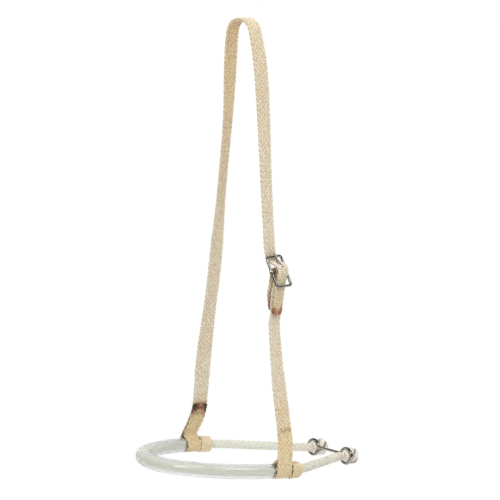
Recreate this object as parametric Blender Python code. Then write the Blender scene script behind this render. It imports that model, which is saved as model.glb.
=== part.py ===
"""Tie-down noseband on a flat-braided cotton headstall, hanging from its crown.

One lariat rope bends round the muzzle. Its nose stretch runs inside a clear
tube between the cheek loops, and its two knotted ends are joined under the
jaw by a wire chin clip.
A flat cotton strap carries it from the far side, over the poll, to a buckle
on the near cheek.

Metres. +Z up, -Y towards the nose, +X towards the near side with the buckle.
The origin is the middle of the crown's underside.
"""

import math

import bmesh
import bpy
from mathutils import Vector
from mathutils.geometry import interpolate_bezier

# Flat-braided cotton strap
STRAP_WIDTH = 0.0193
STRAP_THICK = 0.0033
LAYER_GAP = 0.0003
STRAP_CORNER = 0.0012
STRAP_STEP = 0.009
END_ANGLES_DEG = (0, 20, 40, 57, 72)
BELT_STEP = math.radians(20)

# Crown and cheeks
CROWN_FLAT = 0.003
CROWN_BEND = 0.0165
CROWN_BEND_DEG = 80
CROWN_WIDTH = 0.0178
CROWN_EASE = 0.055
HINGE_HALF_SPREAD = 0.0663
HINGE_FORE_AFT = -0.005
NEAR_SPREAD = ((0.0, 0.0), (0.035, 0.063), (0.1, 0.134), (0.23, 0.22), (0.37, 0.33),
               (0.52, 0.457), (0.66, 0.588), (0.81, 0.746), (0.9, 0.858), (1.0, 1.0))
FAR_SPREAD = ((0.0, 0.0), (0.035, 0.063), (0.1, 0.134), (0.23, 0.22), (0.37, 0.33),
              (0.52, 0.457), (0.66, 0.593), (0.81, 0.785), (0.9, 0.897), (1.0, 1.0))
CHEEK_SWAY = ((0.0, 0.0), (0.1, 0.0022), (0.23, 0.0026), (0.4, 0.0003),
              (0.65, -0.0021), (0.87, -0.0048), (1.0, -0.005))
NEAR_TWIST_DEG = ((0.0, 0), (0.15, 0), (0.4, -11), (0.6, -11), (0.78, -11),
                  (0.86, -7.5), (0.93, 2), (1.0, 4))
FAR_TWIST_DEG = ((0.0, 0), (0.1, -5), (0.25, -19), (0.45, -20), (0.6, -3), (0.75, -3),
                 (0.84, 8), (0.92, 14), (1.0, 9))

# Noseband, drawn in its own plane: x across, y from the cheeks towards the chin
NOSEBAND_DROP = 0.4751
NOSEBAND_FORE_AFT = -0.0091
NOSEBAND_TILT_DEG = 7.78
NOSEBAND_HALF_WIDTH = 0.0735
NOSE_DEPTH = 0.1211
JAW_BEND = 0.1133
CHIN_REACH = 0.1425
CHIN_BEND = 0.025
ROPE_DIA = 0.010
TUBE_OUTER = 0.0159
TUBE_BORE = 0.0111
OUTLINE_STEP = 0.0075

# Cheek loops and the collars behind them
LOOP_WIDTH = 0.0213
LOOP_THICK = 0.0029
LOOP_CLEAR = 0.0006
LOOP_SETBACK = -0.0055
HINGE_RISE = 0.058
HINGE_CLEAR = 0.0004
LOOP_HORN = 0.0055
LOOP_SWAY = 0.45
LOOP_BOW = 0.0022
NEAR_HANG = 0.45
FAR_HANG = 0.58
LOOP_DROP = 0.25
RING_TOP = 1.5
TAIL_CLEAR = 0.001
TAIL_JOIN = 0.016
TAIL_BEND = 0.006
NEAR_TUCK = 0.0024
FAR_TUCK = -0.002
LOOP_POINTS = 60
LOOP_POINTS_FREE = 4
COLLAR_LENGTH = 0.0155
COLLAR_WALL = 0.004
COLLAR_CLEAR = 0.0003
COLLAR_SINK = 0.0012
LOOP_GAP = 0.0012

# Chin clip and rope knots
CLIP_WIRE = 0.0032
CLIP_EYE_BORE = 0.014
CLIP_SPACING = 0.0526
CLIP_BAR_RISE = 0.0015
CLIP_FLARE = 0.004
CLIP_TIP_DEG = 200
KNOT_DIA = 0.0196
NEAR_KNOT_LENGTH = 0.011
FAR_KNOT_LENGTH = 0.0148
KNOT_NECK = 0.0126
NECK_AHEAD = 0.0035
NECK_FLARE = 0.001
KNOT_SWELL = ((0.0, 0.0), (0.15, 0.26), (0.3, 0.68), (0.45, 0.95), (0.72, 1.0), (0.92, 0.5), (1.0, -0.6))
CLIP_TO_KNOT = 0.0006

# Centre-bar buckle
BUCKLE_DROP = 0.2636
BUCKLE_WIRE = 0.003
BUCKLE_PITCH = 0.0338
BUCKLE_INNER_WIDTH = 0.0228
BUCKLE_CORNER = 0.003
BUCKLE_LEAN_DEG = 20.5
BUCKLE_EASE = 0.0013
BAR_DIA = 0.0032
BAR_CLEAR = 0.00035
SLEEVE_DIA = 0.0045
SLEEVE_LENGTH = 0.005
SLEEVE_CLEAR = 0.0003
TONGUE_WIRE = 0.0024
TONGUE_CLEAR = 0.0003
TONGUE_OVERHANG = 0.0026
TONGUE_SLOT_CLEAR = 0.0005
TONGUE_LIFT_DEG = 30
TONGUE_EYE_DEG = 300
TONGUE_TAPER = ((0.35, 1.0), (0.7, 1.0), (0.95, 0.9), (1.0, 0.55))
CHAPE_FOLD_WIDTH = 0.0174
CHAPE_TAIL = 0.040
BILLET_TAIL = 0.0435
CHAPE_EASE = 0.018
CHAPE_SETTLE = 1.5
BILLET_WIDTH = 0.0178
BILLET_SWAY = ((-1.6, 0.0), (-1.0, 0.3), (0.0, -0.72), (1.0, -0.72), (2.75, -1.6))
CHAPE_DRIFT = 0.0015

# Sewing thread
THREAD = 0.0007
STITCH_RISE = 0.005
STITCHES = 7

X = Vector((1, 0, 0))
Y = Vector((0, 1, 0))
NEAR = 1
FAR = -1

LAYER_PITCH = STRAP_THICK + LAYER_GAP
TILT = math.radians(NOSEBAND_TILT_DEG)
CHINWARD = Vector((0, math.cos(TILT), -math.sin(TILT)))
NOSEBAND_UP = Vector((0, math.sin(TILT), math.cos(TILT)))
NOSEBAND_ORIGIN = Vector((0, NOSEBAND_FORE_AFT, -NOSEBAND_DROP))


# Small tools for lines and curves

def through(table, t):
    """Smooth value at t on a curve through the (position, value) pairs of a table."""
    last = len(table) - 1
    k = 0
    while k < last - 1 and t > table[k + 1][0]:
        k += 1
    slopes = []
    for i in (k, k + 1):
        low = table[max(i - 1, 0)]
        high = table[min(i + 1, last)]
        slopes.append((high[1] - low[1]) / (high[0] - low[0]))
    x0, y0 = table[k]
    x1, y1 = table[k + 1]
    span = x1 - x0
    u = min(max((t - x0) / span, 0.0), 1.0)
    rise = (2 * u**3 - 3 * u**2 + 1) * y0 + (3 * u**2 - 2 * u**3) * y1
    lean = (u**3 - 2 * u**2 + u) * slopes[0] + (u**3 - u**2) * slopes[1]
    return rise + lean * span


def ease(t):
    """Smooth step from 0 to 1."""
    t = min(max(t, 0.0), 1.0)
    return t * t * (3 - 2 * t)


def heading(angle):
    return Vector((math.cos(angle), math.sin(angle)))


def left_of(angle):
    return Vector((-math.sin(angle), math.cos(angle)))


def belt(start, circles, end, step, stretch):
    """Points of a belt from start to end round circles (centre, radius, turn).

    turn is 1 where the belt turns left round the circle and -1 where it turns
    right. step is the angle between points on an arc, stretch their distance
    on a straight run.
    """
    stops = [(start, 0.0, 1)] + circles + [(end, 0.0, 1)]
    runs = []
    for (c0, r0, s0), (c1, r1, s1) in zip(stops, stops[1:]):
        gap = c1 - c0
        bearing = math.atan2(gap.y, gap.x) - math.asin((s1 * r1 - s0 * r0) / gap.length)
        runs.append((c0 - left_of(bearing) * s0 * r0, c1 - left_of(bearing) * s1 * r1, bearing))
    points = []
    for k, (p0, p1, bearing) in enumerate(runs):
        count = max(1, math.ceil((p1 - p0).length / stretch))
        points += [p0.lerp(p1, i / count) for i in range(count)]
        if k == len(runs) - 1:
            points.append(p1)
            continue
        centre, radius, turn = circles[k]
        sweep = turn * ((turn * (runs[k + 1][2] - bearing)) % (2 * math.pi))
        count = max(1, math.ceil(abs(sweep) / step))
        points += [centre - left_of(bearing + sweep * i / count) * turn * radius for i in range(count)]
    return points


def tangents(points, closed=False):
    """Unit direction of a line at each of its points."""
    found = []
    count = len(points)
    for k in range(count):
        low = points[(k - 1) % count] if closed else points[max(k - 1, 0)]
        high = points[(k + 1) % count] if closed else points[min(k + 1, count - 1)]
        found.append((high - low).normalized())
    return found


# Small tools for solids

def material(name, colour, roughness, metallic=0.0, alpha=1.0):
    made = bpy.data.materials.new(name)
    made.use_nodes = True
    shader = made.node_tree.nodes["Principled BSDF"]
    shader.inputs["Base Color"].default_value = (*colour, 1.0)
    shader.inputs["Roughness"].default_value = roughness
    shader.inputs["Metallic"].default_value = metallic
    shader.inputs["Alpha"].default_value = alpha
    made.diffuse_color = (*colour, alpha)
    return made


def add_object(name, shape, finish, pivot=None, sharp_deg=40):
    """Make an object of a bmesh, with its origin at the pivot."""
    bmesh.ops.recalc_face_normals(shape, faces=shape.faces)
    if pivot is not None:
        bmesh.ops.translate(shape, vec=-pivot, verts=shape.verts)
    mesh = bpy.data.meshes.new(name)
    shape.to_mesh(mesh)
    shape.free()
    mesh.materials.append(finish)
    mesh.shade_smooth()
    mesh.set_sharp_from_angle(angle=math.radians(sharp_deg))
    made = bpy.data.objects.new(name, mesh)
    if pivot is not None:
        made.location = pivot
    bpy.context.scene.collection.objects.link(made)
    return made


def skin(shape, rings, closed=False):
    """Join rings of points with faces, and cap both ends unless closed."""
    rows = [[shape.verts.new(p) for p in ring] for ring in rings]
    pairs = list(zip(rows, rows[1:]))
    if closed:
        pairs.append((rows[-1], rows[0]))
    for a, b in pairs:
        for i in range(len(a)):
            j = (i + 1) % len(a)
            shape.faces.new((a[i], a[j], b[j], b[i]))
    if not closed:
        shape.faces.new(rows[0])
        shape.faces.new(rows[-1])
    return rows


def across(points, sideways, closed=False):
    """Directions square to a line: along sideways, and square to both."""
    frames = []
    for direction, side in zip(tangents(points, closed), sideways):
        side = (side - direction * side.dot(direction)).normalized()
        frames.append((side, direction.cross(side)))
    return frames


def add_round(shape, points, radius, sideways, sides=8, closed=False):
    """Round rod along a line. radius is one value or one for each point."""
    radii = radius if isinstance(radius, list) else [radius] * len(points)
    rings = []
    for point, r, (side, normal) in zip(points, radii, across(points, sideways, closed)):
        turns = [2 * math.pi * (i + 0.5) / sides for i in range(sides)]
        rings.append([point + side * r * math.cos(a) + normal * r * math.sin(a) for a in turns])
    skin(shape, rings, closed)


def add_pipe(shape, points, outer, inner, sideways, sides=16, sink=0.0):
    """Round pipe along a line, open at both ends, its outside sunk below its bore."""
    rows = []
    for radius, drop in ((outer, sink), (inner, 0.0)):
        rings = []
        for point, (side, normal) in zip(points, across(points, sideways)):
            turns = [2 * math.pi * (i + 0.5) / sides for i in range(sides)]
            middle = point - side * drop
            ring = [middle + side * radius * math.cos(a) + normal * radius * math.sin(a) for a in turns]
            rings.append([shape.verts.new(p) for p in ring])
        rows.append(rings)
    for rings in rows:
        for a, b in zip(rings, rings[1:]):
            for i in range(sides):
                j = (i + 1) % sides
                shape.faces.new((a[i], a[j], b[j], b[i]))
    for end in (0, -1):
        a, b = rows[0][end], rows[1][end]
        for i in range(sides):
            j = (i + 1) % sides
            shape.faces.new((a[i], a[j], b[j], b[i]))


class Strap:
    """A run of flat strap: points on its middle line, width directions and half widths."""

    def __init__(self, thick=STRAP_THICK):
        self.thick = thick
        self.points = []
        self.sides = []
        self.halves = []

    def add(self, point, side, half=STRAP_WIDTH / 2):
        self.points.append(point)
        self.sides.append(side)
        self.halves.append(half)

    def frame(self, k):
        side, normal = across(self.points, self.sides)[k]
        return self.points[k], side, normal

    def build(self, shape):
        """Flat band with bevelled corners."""
        flat = self.thick / 2
        rings = []
        for point, half, (side, normal) in zip(self.points, self.halves, across(self.points, self.sides)):
            face = half - min(STRAP_CORNER, half / 2)
            edge = flat - STRAP_CORNER / 2
            corners = ((half, -edge), (half, edge), (face, flat), (-face, flat),
                       (-half, edge), (-half, -edge), (-face, -flat), (face, -flat))
            rings.append([point + side * w + normal * n for w, n in corners])
        skin(shape, rings)


def cutter(name, shape):
    made = add_object(name, shape, MATERIALS["cotton"])
    made.hide_render = True
    made.display_type = "WIRE"
    return made


def cut(target, tool):
    modifier = target.modifiers.new(tool.name, "BOOLEAN")
    modifier.operation = "DIFFERENCE"
    modifier.solver = "EXACT"
    modifier.object = tool


def box(shape, centre, axes, sizes):
    """Box with its sides along three axes."""
    corners = []
    for i in (-0.5, 0.5):
        for j, k in ((-0.5, -0.5), (0.5, -0.5), (0.5, 0.5), (-0.5, 0.5)):
            offset = axes[0] * sizes[0] * i + axes[1] * sizes[1] * j + axes[2] * sizes[2] * k
            corners.append(centre + offset)
    skin(shape, [corners[:4], corners[4:]])


# The noseband's outline

def solve_jaw_angle():
    """Angle at which the rope runs from the jaw bend to the chin bend."""
    low, high = 0.0, math.radians(80)
    for _ in range(60):
        angle = (low + high) / 2
        bends = JAW_BEND + CHIN_BEND
        straight = (straight_end() - bends * math.sin(angle)) / math.cos(angle)
        reach = NOSEBAND_HALF_WIDTH - bends * (1 - math.cos(angle)) - straight * math.sin(angle)
        if reach > CLIP_SPACING / 2:
            low = angle
        else:
            high = angle
    return angle


def straight_end():
    """Where the rope runs parallel to its twin, just ahead of its knot."""
    return knot_start() - ROPE_DIA / 4


def half_outline():
    """Rope's middle line on one side, from the nose to the knot, in the noseband's plane."""
    points = []
    nose_steps = 40
    for i in range(nose_steps):
        a = math.pi / 2 * i / nose_steps
        points.append(Vector((NOSEBAND_HALF_WIDTH * math.sin(a), -NOSE_DEPTH * math.cos(a))))
    angle = solve_jaw_angle()
    arc_steps = 12
    for i in range(arc_steps + 1):
        a = angle * i / arc_steps
        points.append(Vector((NOSEBAND_HALF_WIDTH - JAW_BEND * (1 - math.cos(a)), JAW_BEND * math.sin(a))))
    bend_x = CLIP_SPACING / 2 + CHIN_BEND
    for i in range(arc_steps + 1):
        a = angle * (1 - i / arc_steps)
        points.append(Vector((bend_x - CHIN_BEND * math.cos(a), straight_end() - CHIN_BEND * math.sin(a))))
    points.append(Vector((CLIP_SPACING / 2, knot_start() - 2 * LAYER_GAP)))
    return points


def knot_start():
    """Where the rope gives way to the thicker neck of its knot, ahead of the clip."""
    return CHIN_REACH - NECK_AHEAD


OUTLINE = half_outline()
LENGTHS = [0.0]
for before, after in zip(OUTLINE, OUTLINE[1:]):
    LENGTHS.append(LENGTHS[-1] + (after - before).length)


def outline_at(length):
    """Point of the half outline at a length from the nose."""
    k = 0
    while k < len(OUTLINE) - 2 and length > LENGTHS[k + 1]:
        k += 1
    share = (length - LENGTHS[k]) / (LENGTHS[k + 1] - LENGTHS[k])
    return OUTLINE[k].lerp(OUTLINE[k + 1], share)


def length_at(y):
    """Length from the nose at which the half outline reaches y."""
    k = 0
    while k < len(OUTLINE) - 2 and y > OUTLINE[k + 1].y:
        k += 1
    share = (y - OUTLINE[k].y) / (OUTLINE[k + 1].y - OUTLINE[k].y)
    return LENGTHS[k] + share * (LENGTHS[k + 1] - LENGTHS[k])


def noseband_point(length):
    """Point of the rope in space: positive lengths run from the nose to the near end."""
    flat = outline_at(abs(length))
    side = NEAR if length >= 0 else FAR
    return NOSEBAND_ORIGIN + X * side * flat.x + CHINWARD * flat.y


def noseband_run(start, end, step=OUTLINE_STEP):
    count = max(2, math.ceil((end - start) / step))
    return [noseband_point(start + (end - start) * i / count) for i in range(count + 1)]


LOOP_AT = length_at(LOOP_SETBACK)
TUBE_END = LOOP_AT - LOOP_WIDTH / 2 - LOOP_GAP
COLLAR_START = LOOP_AT + LOOP_WIDTH / 2 + LOOP_GAP
ROPE_END = LENGTHS[-1]


# The cheek line that the strap hangs along on each side

HINGE_DEPTH = -noseband_point(LOOP_AT).z - HINGE_RISE
CROWN_END = math.radians(CROWN_BEND_DEG)
CHEEK_TOP = CROWN_BEND * (1 - math.cos(CROWN_END)) - STRAP_THICK / 2
CHEEK_TOP_SPREAD = CROWN_FLAT / 2 + CROWN_BEND * math.sin(CROWN_END)


def cheek(side, depth):
    """Point of the strap's middle line on one cheek, and its width direction."""
    t = (depth - CHEEK_TOP) / (HINGE_DEPTH - CHEEK_TOP)
    spread = through(NEAR_SPREAD if side == NEAR else FAR_SPREAD, t)
    x = CHEEK_TOP_SPREAD + (HINGE_HALF_SPREAD - CHEEK_TOP_SPREAD) * spread
    y = through(CHEEK_SWAY, t) * HINGE_FORE_AFT / CHEEK_SWAY[-1][1]
    twist = math.radians(through(NEAR_TWIST_DEG if side == NEAR else FAR_TWIST_DEG, t))
    return Vector((side * x, y, -depth)), Vector((math.sin(twist), math.cos(twist), 0))


def half_width(depth):
    """Half the strap's width at a depth: it is drawn in where it bends over the crown."""
    return (CROWN_WIDTH + (STRAP_WIDTH - CROWN_WIDTH) * ease(depth / CROWN_EASE)) / 2


def hinge_point(side):
    return cheek(side, HINGE_DEPTH)[0]


# The buckle's own directions, at its centre bar

BAR_LINE, BUCKLE_SIDE = cheek(NEAR, BUCKLE_DROP)
BUCKLE_DOWN = (cheek(NEAR, BUCKLE_DROP + 0.001)[0] - cheek(NEAR, BUCKLE_DROP - 0.001)[0]).normalized()
BUCKLE_SIDE = (BUCKLE_SIDE - BUCKLE_DOWN * BUCKLE_SIDE.dot(BUCKLE_DOWN)).normalized()
BUCKLE_OUT = BUCKLE_DOWN.cross(BUCKLE_SIDE)
if BUCKLE_OUT.x < 0:
    BUCKLE_OUT = -BUCKLE_OUT
DEPTH_PER_RUN = -BUCKLE_DOWN.z

BAR_STAND = STRAP_THICK / 2 + BUCKLE_EASE + BUCKLE_WIRE / 2
FRAME_LEAN = math.radians(BUCKLE_LEAN_DEG)
LEAN_RISE = BUCKLE_PITCH / 2 * math.sin(FRAME_LEAN)
BAR_OUT = BAR_STAND + LEAN_RISE
BAR_CENTRE = BAR_LINE + BUCKLE_OUT * BAR_OUT
FRAME_DOWN = BUCKLE_DOWN * math.cos(FRAME_LEAN) + BUCKLE_OUT * math.sin(FRAME_LEAN)
BAR_RUN = BUCKLE_PITCH / 2 * math.cos(FRAME_LEAN)
TOP_BAR = Vector((-BAR_RUN, BAR_OUT - LEAN_RISE))
LOW_BAR = Vector((BAR_RUN, BAR_OUT + LEAN_RISE))
MID_BAR = Vector((0, BAR_OUT))
FOLD_RADIUS = BAR_DIA / 2 + BAR_CLEAR + STRAP_THICK / 2
OVER_RADIUS = FOLD_RADIUS + LAYER_PITCH
UNDER_RADIUS = BUCKLE_WIRE / 2 + BUCKLE_EASE + STRAP_THICK / 2
TONGUE_EYE = BAR_DIA / 2 + TONGUE_CLEAR + TONGUE_WIRE / 2
TONGUE_OVER = BUCKLE_WIRE / 2 + TONGUE_CLEAR + TONGUE_WIRE / 2
TONGUE_REACH = TOP_BAR - MID_BAR
TONGUE_REST = math.atan2(TONGUE_REACH.y, -TONGUE_REACH.x) + math.asin(
    (TONGUE_OVER - TONGUE_EYE) / TONGUE_REACH.length)
TONGUE_FINAL = TONGUE_REST + math.radians(TONGUE_LIFT_DEG) + math.asin(TONGUE_EYE / OVER_RADIUS)


def buckle_station(flat, drift=0.0):
    """Point and width direction at (run down the strap, distance outwards) from the buckle."""
    point, side = cheek(NEAR, BUCKLE_DROP + flat.x * DEPTH_PER_RUN)
    return point + BUCKLE_OUT * flat.y + BUCKLE_SIDE * drift, BUCKLE_SIDE


def billet_station(flat, entry):
    """Point, width direction and half width of the billet: it is drawn in and lies to one side."""
    room = (BUCKLE_INNER_WIDTH - BILLET_WIDTH) / 2
    drawn_in = ease((flat.x - entry) / (-BAR_RUN - entry))
    half = (STRAP_WIDTH + (BILLET_WIDTH - STRAP_WIDTH) * drawn_in) / 2
    return *buckle_station(flat, room * through(BILLET_SWAY, flat.x / BAR_RUN)), half


# Straps

def rounded_end(strap, side, going_down):
    """Half disc, round the hinge's axis, that ends a cheek above its loop."""
    radius = STRAP_WIDTH / 2
    for angle in END_ANGLES_DEG if going_down else reversed(END_ANGLES_DEG):
        a = math.radians(angle)
        point, width = cheek(side, HINGE_DEPTH + radius * math.sin(a))
        strap.add(point, width, radius * math.cos(a))


def cheek_run(strap, side, start, end):
    """Stations along a cheek between two depths, in either direction."""
    count = max(1, round(abs(end - start) / STRAP_STEP))
    for i in range(count + 1):
        depth = start + (end - start) * i / count
        strap.add(*cheek(side, depth), half_width(depth))


def crown_strap():
    """Far cheek, crown, near cheek and billet, down to the billet's end."""
    strap = Strap()
    rounded_end(strap, FAR, going_down=False)
    cheek_run(strap, FAR, HINGE_DEPTH - STRAP_STEP, CHEEK_TOP + STRAP_STEP)
    bend_steps = 7
    angles = [CROWN_END * i / bend_steps for i in range(bend_steps + 1)]
    centre = Vector((CROWN_FLAT / 2, 0, STRAP_THICK / 2 - CROWN_BEND))
    for side, turn in ((FAR, angles[::-1]), (NEAR, angles)):
        for a in turn:
            spread = side * (centre.x + CROWN_BEND * math.sin(a))
            height = centre.z + CROWN_BEND * math.cos(a)
            strap.add(Vector((spread, 0, height)), Y, half_width(-height))
    entry = -BAR_RUN - STRAP_WIDTH / 2
    cheek_run(strap, NEAR, CHEEK_TOP + STRAP_STEP, BUCKLE_DROP + (entry - STRAP_STEP / 2) * DEPTH_PER_RUN)
    circles = [(TOP_BAR, UNDER_RADIUS, 1), (MID_BAR, OVER_RADIUS, -1), (LOW_BAR, UNDER_RADIUS, 1)]
    end = Vector((BILLET_TAIL, 2 * LAYER_PITCH))
    for flat in belt(Vector((entry, 0)), circles, end, BELT_STEP, STRAP_STEP):
        strap.add(*billet_station(flat, entry))
    shape = bmesh.new()
    strap.build(shape)
    made = add_object("crown_strap", shape, MATERIALS["cotton"])
    cut(made, tongue_slot())


def tongue_slot():
    """Cutter for the gap in the braid that the tongue passes and lifts through."""
    shape = bmesh.new()
    low = -BAR_RUN + BUCKLE_WIRE / 2
    high = -OVER_RADIUS * math.sin(TONGUE_FINAL) + TONGUE_WIRE
    centre = Vector(((low + high) / 2, BAR_OUT + OVER_RADIUS / 3))
    place = BAR_LINE + BUCKLE_DOWN * centre.x + BUCKLE_OUT * centre.y
    sizes = (high - low, 2 * OVER_RADIUS, TONGUE_WIRE + 2 * TONGUE_SLOT_CLEAR)
    box(shape, place, (BUCKLE_DOWN, BUCKLE_OUT, BUCKLE_SIDE), sizes)
    return cutter("tongue_slot_cutter", shape)


def near_cheek_strap():
    """Chape: from the near loop up and round the buckle's bar, with its fold inside."""
    strap = Strap()
    rounded_end(strap, NEAR, going_down=False)
    fold_end = BUCKLE_DROP + CHAPE_TAIL * DEPTH_PER_RUN
    lowest = HINGE_DEPTH - STRAP_STEP
    count = round((lowest - fold_end) / STRAP_STEP)
    for i in range(count + 1):
        depth = lowest + (fold_end - lowest) * i / count
        point, width = cheek(NEAR, depth)
        lift = LAYER_PITCH * ease(1 - (depth - fold_end) / CHAPE_EASE)
        strap.add(point + BUCKLE_OUT * lift, width)
    start = Vector((CHAPE_TAIL - STRAP_STEP / 2, LAYER_PITCH))
    bend = (LOW_BAR, UNDER_RADIUS + LAYER_PITCH, -1)
    tail_bend = (Vector((CHAPE_SETTLE * BAR_RUN, UNDER_RADIUS)), UNDER_RADIUS, 1)
    circles = [bend, (MID_BAR, FOLD_RADIUS, 1), tail_bend]
    folded = False
    for flat in belt(start, circles, Vector((CHAPE_TAIL, 0)), BELT_STEP, STRAP_STEP):
        folded = folded or flat.x < 0
        point, width = buckle_station(flat, CHAPE_DRIFT * ease(flat.x / CHAPE_TAIL) * folded)
        near_bar = 1 - ease(((flat - MID_BAR).length - OVER_RADIUS) / BAR_RUN)
        half = STRAP_WIDTH / 2 + (CHAPE_FOLD_WIDTH - STRAP_WIDTH) / 2 * near_bar
        strap.add(point, width, half)
    shape = bmesh.new()
    strap.build(shape)
    made = add_object("near_cheek_strap", shape, MATERIALS["cotton"])
    slot = bmesh.new()
    reach = TONGUE_EYE + TONGUE_WIRE / 2 + TONGUE_SLOT_CLEAR
    top = OVER_RADIUS
    centre = BAR_CENTRE + BUCKLE_DOWN * (reach - top) / 2
    sizes = (reach + top, 3 * OVER_RADIUS, TONGUE_WIRE + 2 * TONGUE_SLOT_CLEAR)
    box(slot, centre, (BUCKLE_DOWN, BUCKLE_OUT, BUCKLE_SIDE), sizes)
    cut(made, cutter("chape_slot_cutter", slot))
    k = len(strap.points) - 3
    zigzag("chape_stitch", strap, k, inwards(strap, k))


def inwards(strap, k):
    """Sign of a strap's normal that points at the horse."""
    point, side, normal = strap.frame(k)
    return -1 if normal.x * point.x > 0 else 1


def zigzag(name, strap, k, sign):
    """Thread sewn across a strap in a zigzag, on the face that sign picks."""
    point, side, normal = strap.frame(k)
    along = side.cross(normal)
    spread = strap.halves[k] - STRAP_CORNER - THREAD
    lift = strap.thick / 2 + LAYER_GAP + THREAD / 2
    points = []
    for i in range(STITCHES + 1):
        place = 2 * i / STITCHES - 1
        rise = STITCH_RISE / 2 * (1 if i % 2 else -1)
        points.append(point + side * spread * place + along * rise + normal * sign * lift)
    shape = bmesh.new()
    add_round(shape, points, THREAD / 2, [normal] * len(points), sides=6)
    add_object(name, shape, MATERIALS["thread"])


class Loop:
    """Cheek loop: a doubled end of strap that passes round the rope."""

    def __init__(self, side):
        self.side = side
        self.centre = noseband_point(side * LOOP_AT)
        ahead = noseband_point(side * (LOOP_AT + LOOP_WIDTH / 2))
        behind = noseband_point(side * (LOOP_AT - LOOP_WIDTH / 2))
        self.along = (ahead - behind).normalized()
        self.out = (X * side - self.along * self.along.x * side).normalized()
        self.up = self.out.cross(self.along) * side
        if self.up.z < 0:
            self.up = -self.up
        self.radius = ROPE_DIA / 2 + LOOP_CLEAR + LOOP_THICK / 2
        sag = LOOP_WIDTH**2 / 8 / (NOSE_DEPTH**2 / NOSEBAND_HALF_WIDTH)
        self.centre -= self.out * sag / 2
        hinge = hinge_point(side) - self.centre
        self.hinge = Vector((hinge.dot(self.out), hinge.dot(self.up)))
        self.shift = hinge.dot(self.along)
        above = cheek(side, HINGE_DEPTH - STRAP_STEP)[0] - self.centre
        slope = self.hinge - Vector((above.dot(self.out), above.dot(self.up)))
        self.slope = slope.normalized()
        self.tail_top = self.hinge.y - STRAP_WIDTH / 2 - HINGE_CLEAR - TAIL_CLEAR
        self.bend_top = RING_TOP * self.radius
        self.strap = Strap(LOOP_THICK)

    def place(self, flat, tuck):
        """Put a point (outwards, upwards) of the loop's own plane into space."""
        rise = min(max((flat.y - self.bend_top) / (self.hinge.y - self.bend_top), 0.0), 1.0)
        blend = ease(rise / LOOP_SWAY)
        sway = self.shift * blend + 4 * LOOP_BOW * rise * (1 - rise)
        sway += tuck * ease((flat.y - self.radius / 2) / (2 * self.radius))
        point = self.centre + self.out * flat.x + self.up * flat.y + self.along * sway
        hinge_side = cheek(self.side, HINGE_DEPTH)[1]
        width = self.along.lerp(hinge_side, blend)
        flare = 1 - ease((flat.y - self.radius) / (self.tail_top - self.radius))
        half = (STRAP_WIDTH + (LOOP_WIDTH - STRAP_WIDTH) * flare) / 2
        self.strap.add(point, width, half)

    def outer_layer(self):
        """Bezier from the hinge to the rope's outer side, denser than it is built."""
        hinge = self.hinge.to_3d()
        rope = Vector((self.radius, 0, 0))
        hang = NEAR_HANG if self.side == NEAR else FAR_HANG
        handles = (hinge + self.slope.to_3d() * self.hinge.y * hang,
                   rope + Vector((0, self.hinge.y * LOOP_DROP, 0)))
        return [p.to_2d() for p in interpolate_bezier(hinge, *handles, rope, LOOP_POINTS)]

    def build(self, name):
        outer = self.outer_layer()
        top = self.hinge.y - LOOP_HORN
        spacing = max(1, round(STRAP_STEP / (outer[0] - outer[-1]).length * len(outer)))
        kept = [p for p in outer if p.y <= top]
        joined = [p for p in outer if TAIL_JOIN <= p.y <= self.tail_top]
        doubled = []
        for flat, direction in zip(joined, tangents(joined)):
            doubled.append(flat + Vector((direction.y, -direction.x)) * (LOOP_THICK + LAYER_GAP))
        doubled.reverse()
        rise = (doubled[1] - doubled[0]).normalized()
        bend = doubled[0] + Vector((-rise.y, rise.x)) * TAIL_BEND
        circles = [(Vector((0, 0)), self.radius, -1), (bend, TAIL_BEND, 1)]
        wrap = belt(kept[-LOOP_POINTS_FREE], circles, doubled[1], BELT_STEP, STRAP_STEP)
        flats = kept[:-LOOP_POINTS_FREE:spacing] + wrap + doubled[spacing:-1:spacing] + [doubled[-1]]
        tuck = 0.0
        for flat in flats:
            if flat.y < -self.radius / 2:
                tuck = NEAR_TUCK if self.side == NEAR else FAR_TUCK
            self.place(flat, tuck)
        shape = bmesh.new()
        self.strap.build(shape)
        made = add_object(name + "_cheek_loop", shape, MATERIALS["cotton"])
        cut(made, self.notch(name))
        k = len(self.strap.points) - 2
        zigzag(name + "_loop_inner_stitch", self.strap, k, inwards(self.strap, k))
        zigzag(name + "_loop_outer_stitch", self.strap, 1, -inwards(self.strap, 1))

    def notch(self, name):
        """Cutter that rounds the loop's top out about the hinge's axis."""
        shape = bmesh.new()
        hinge = hinge_point(self.side)
        radius = STRAP_WIDTH / 2 + HINGE_CLEAR
        ends = [hinge - X * STRAP_WIDTH / 2, hinge + X * STRAP_WIDTH / 2]
        add_round(shape, ends, radius, [Y, Y], sides=32)
        return cutter(name + "_notch_cutter", shape)


# Noseband

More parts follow.
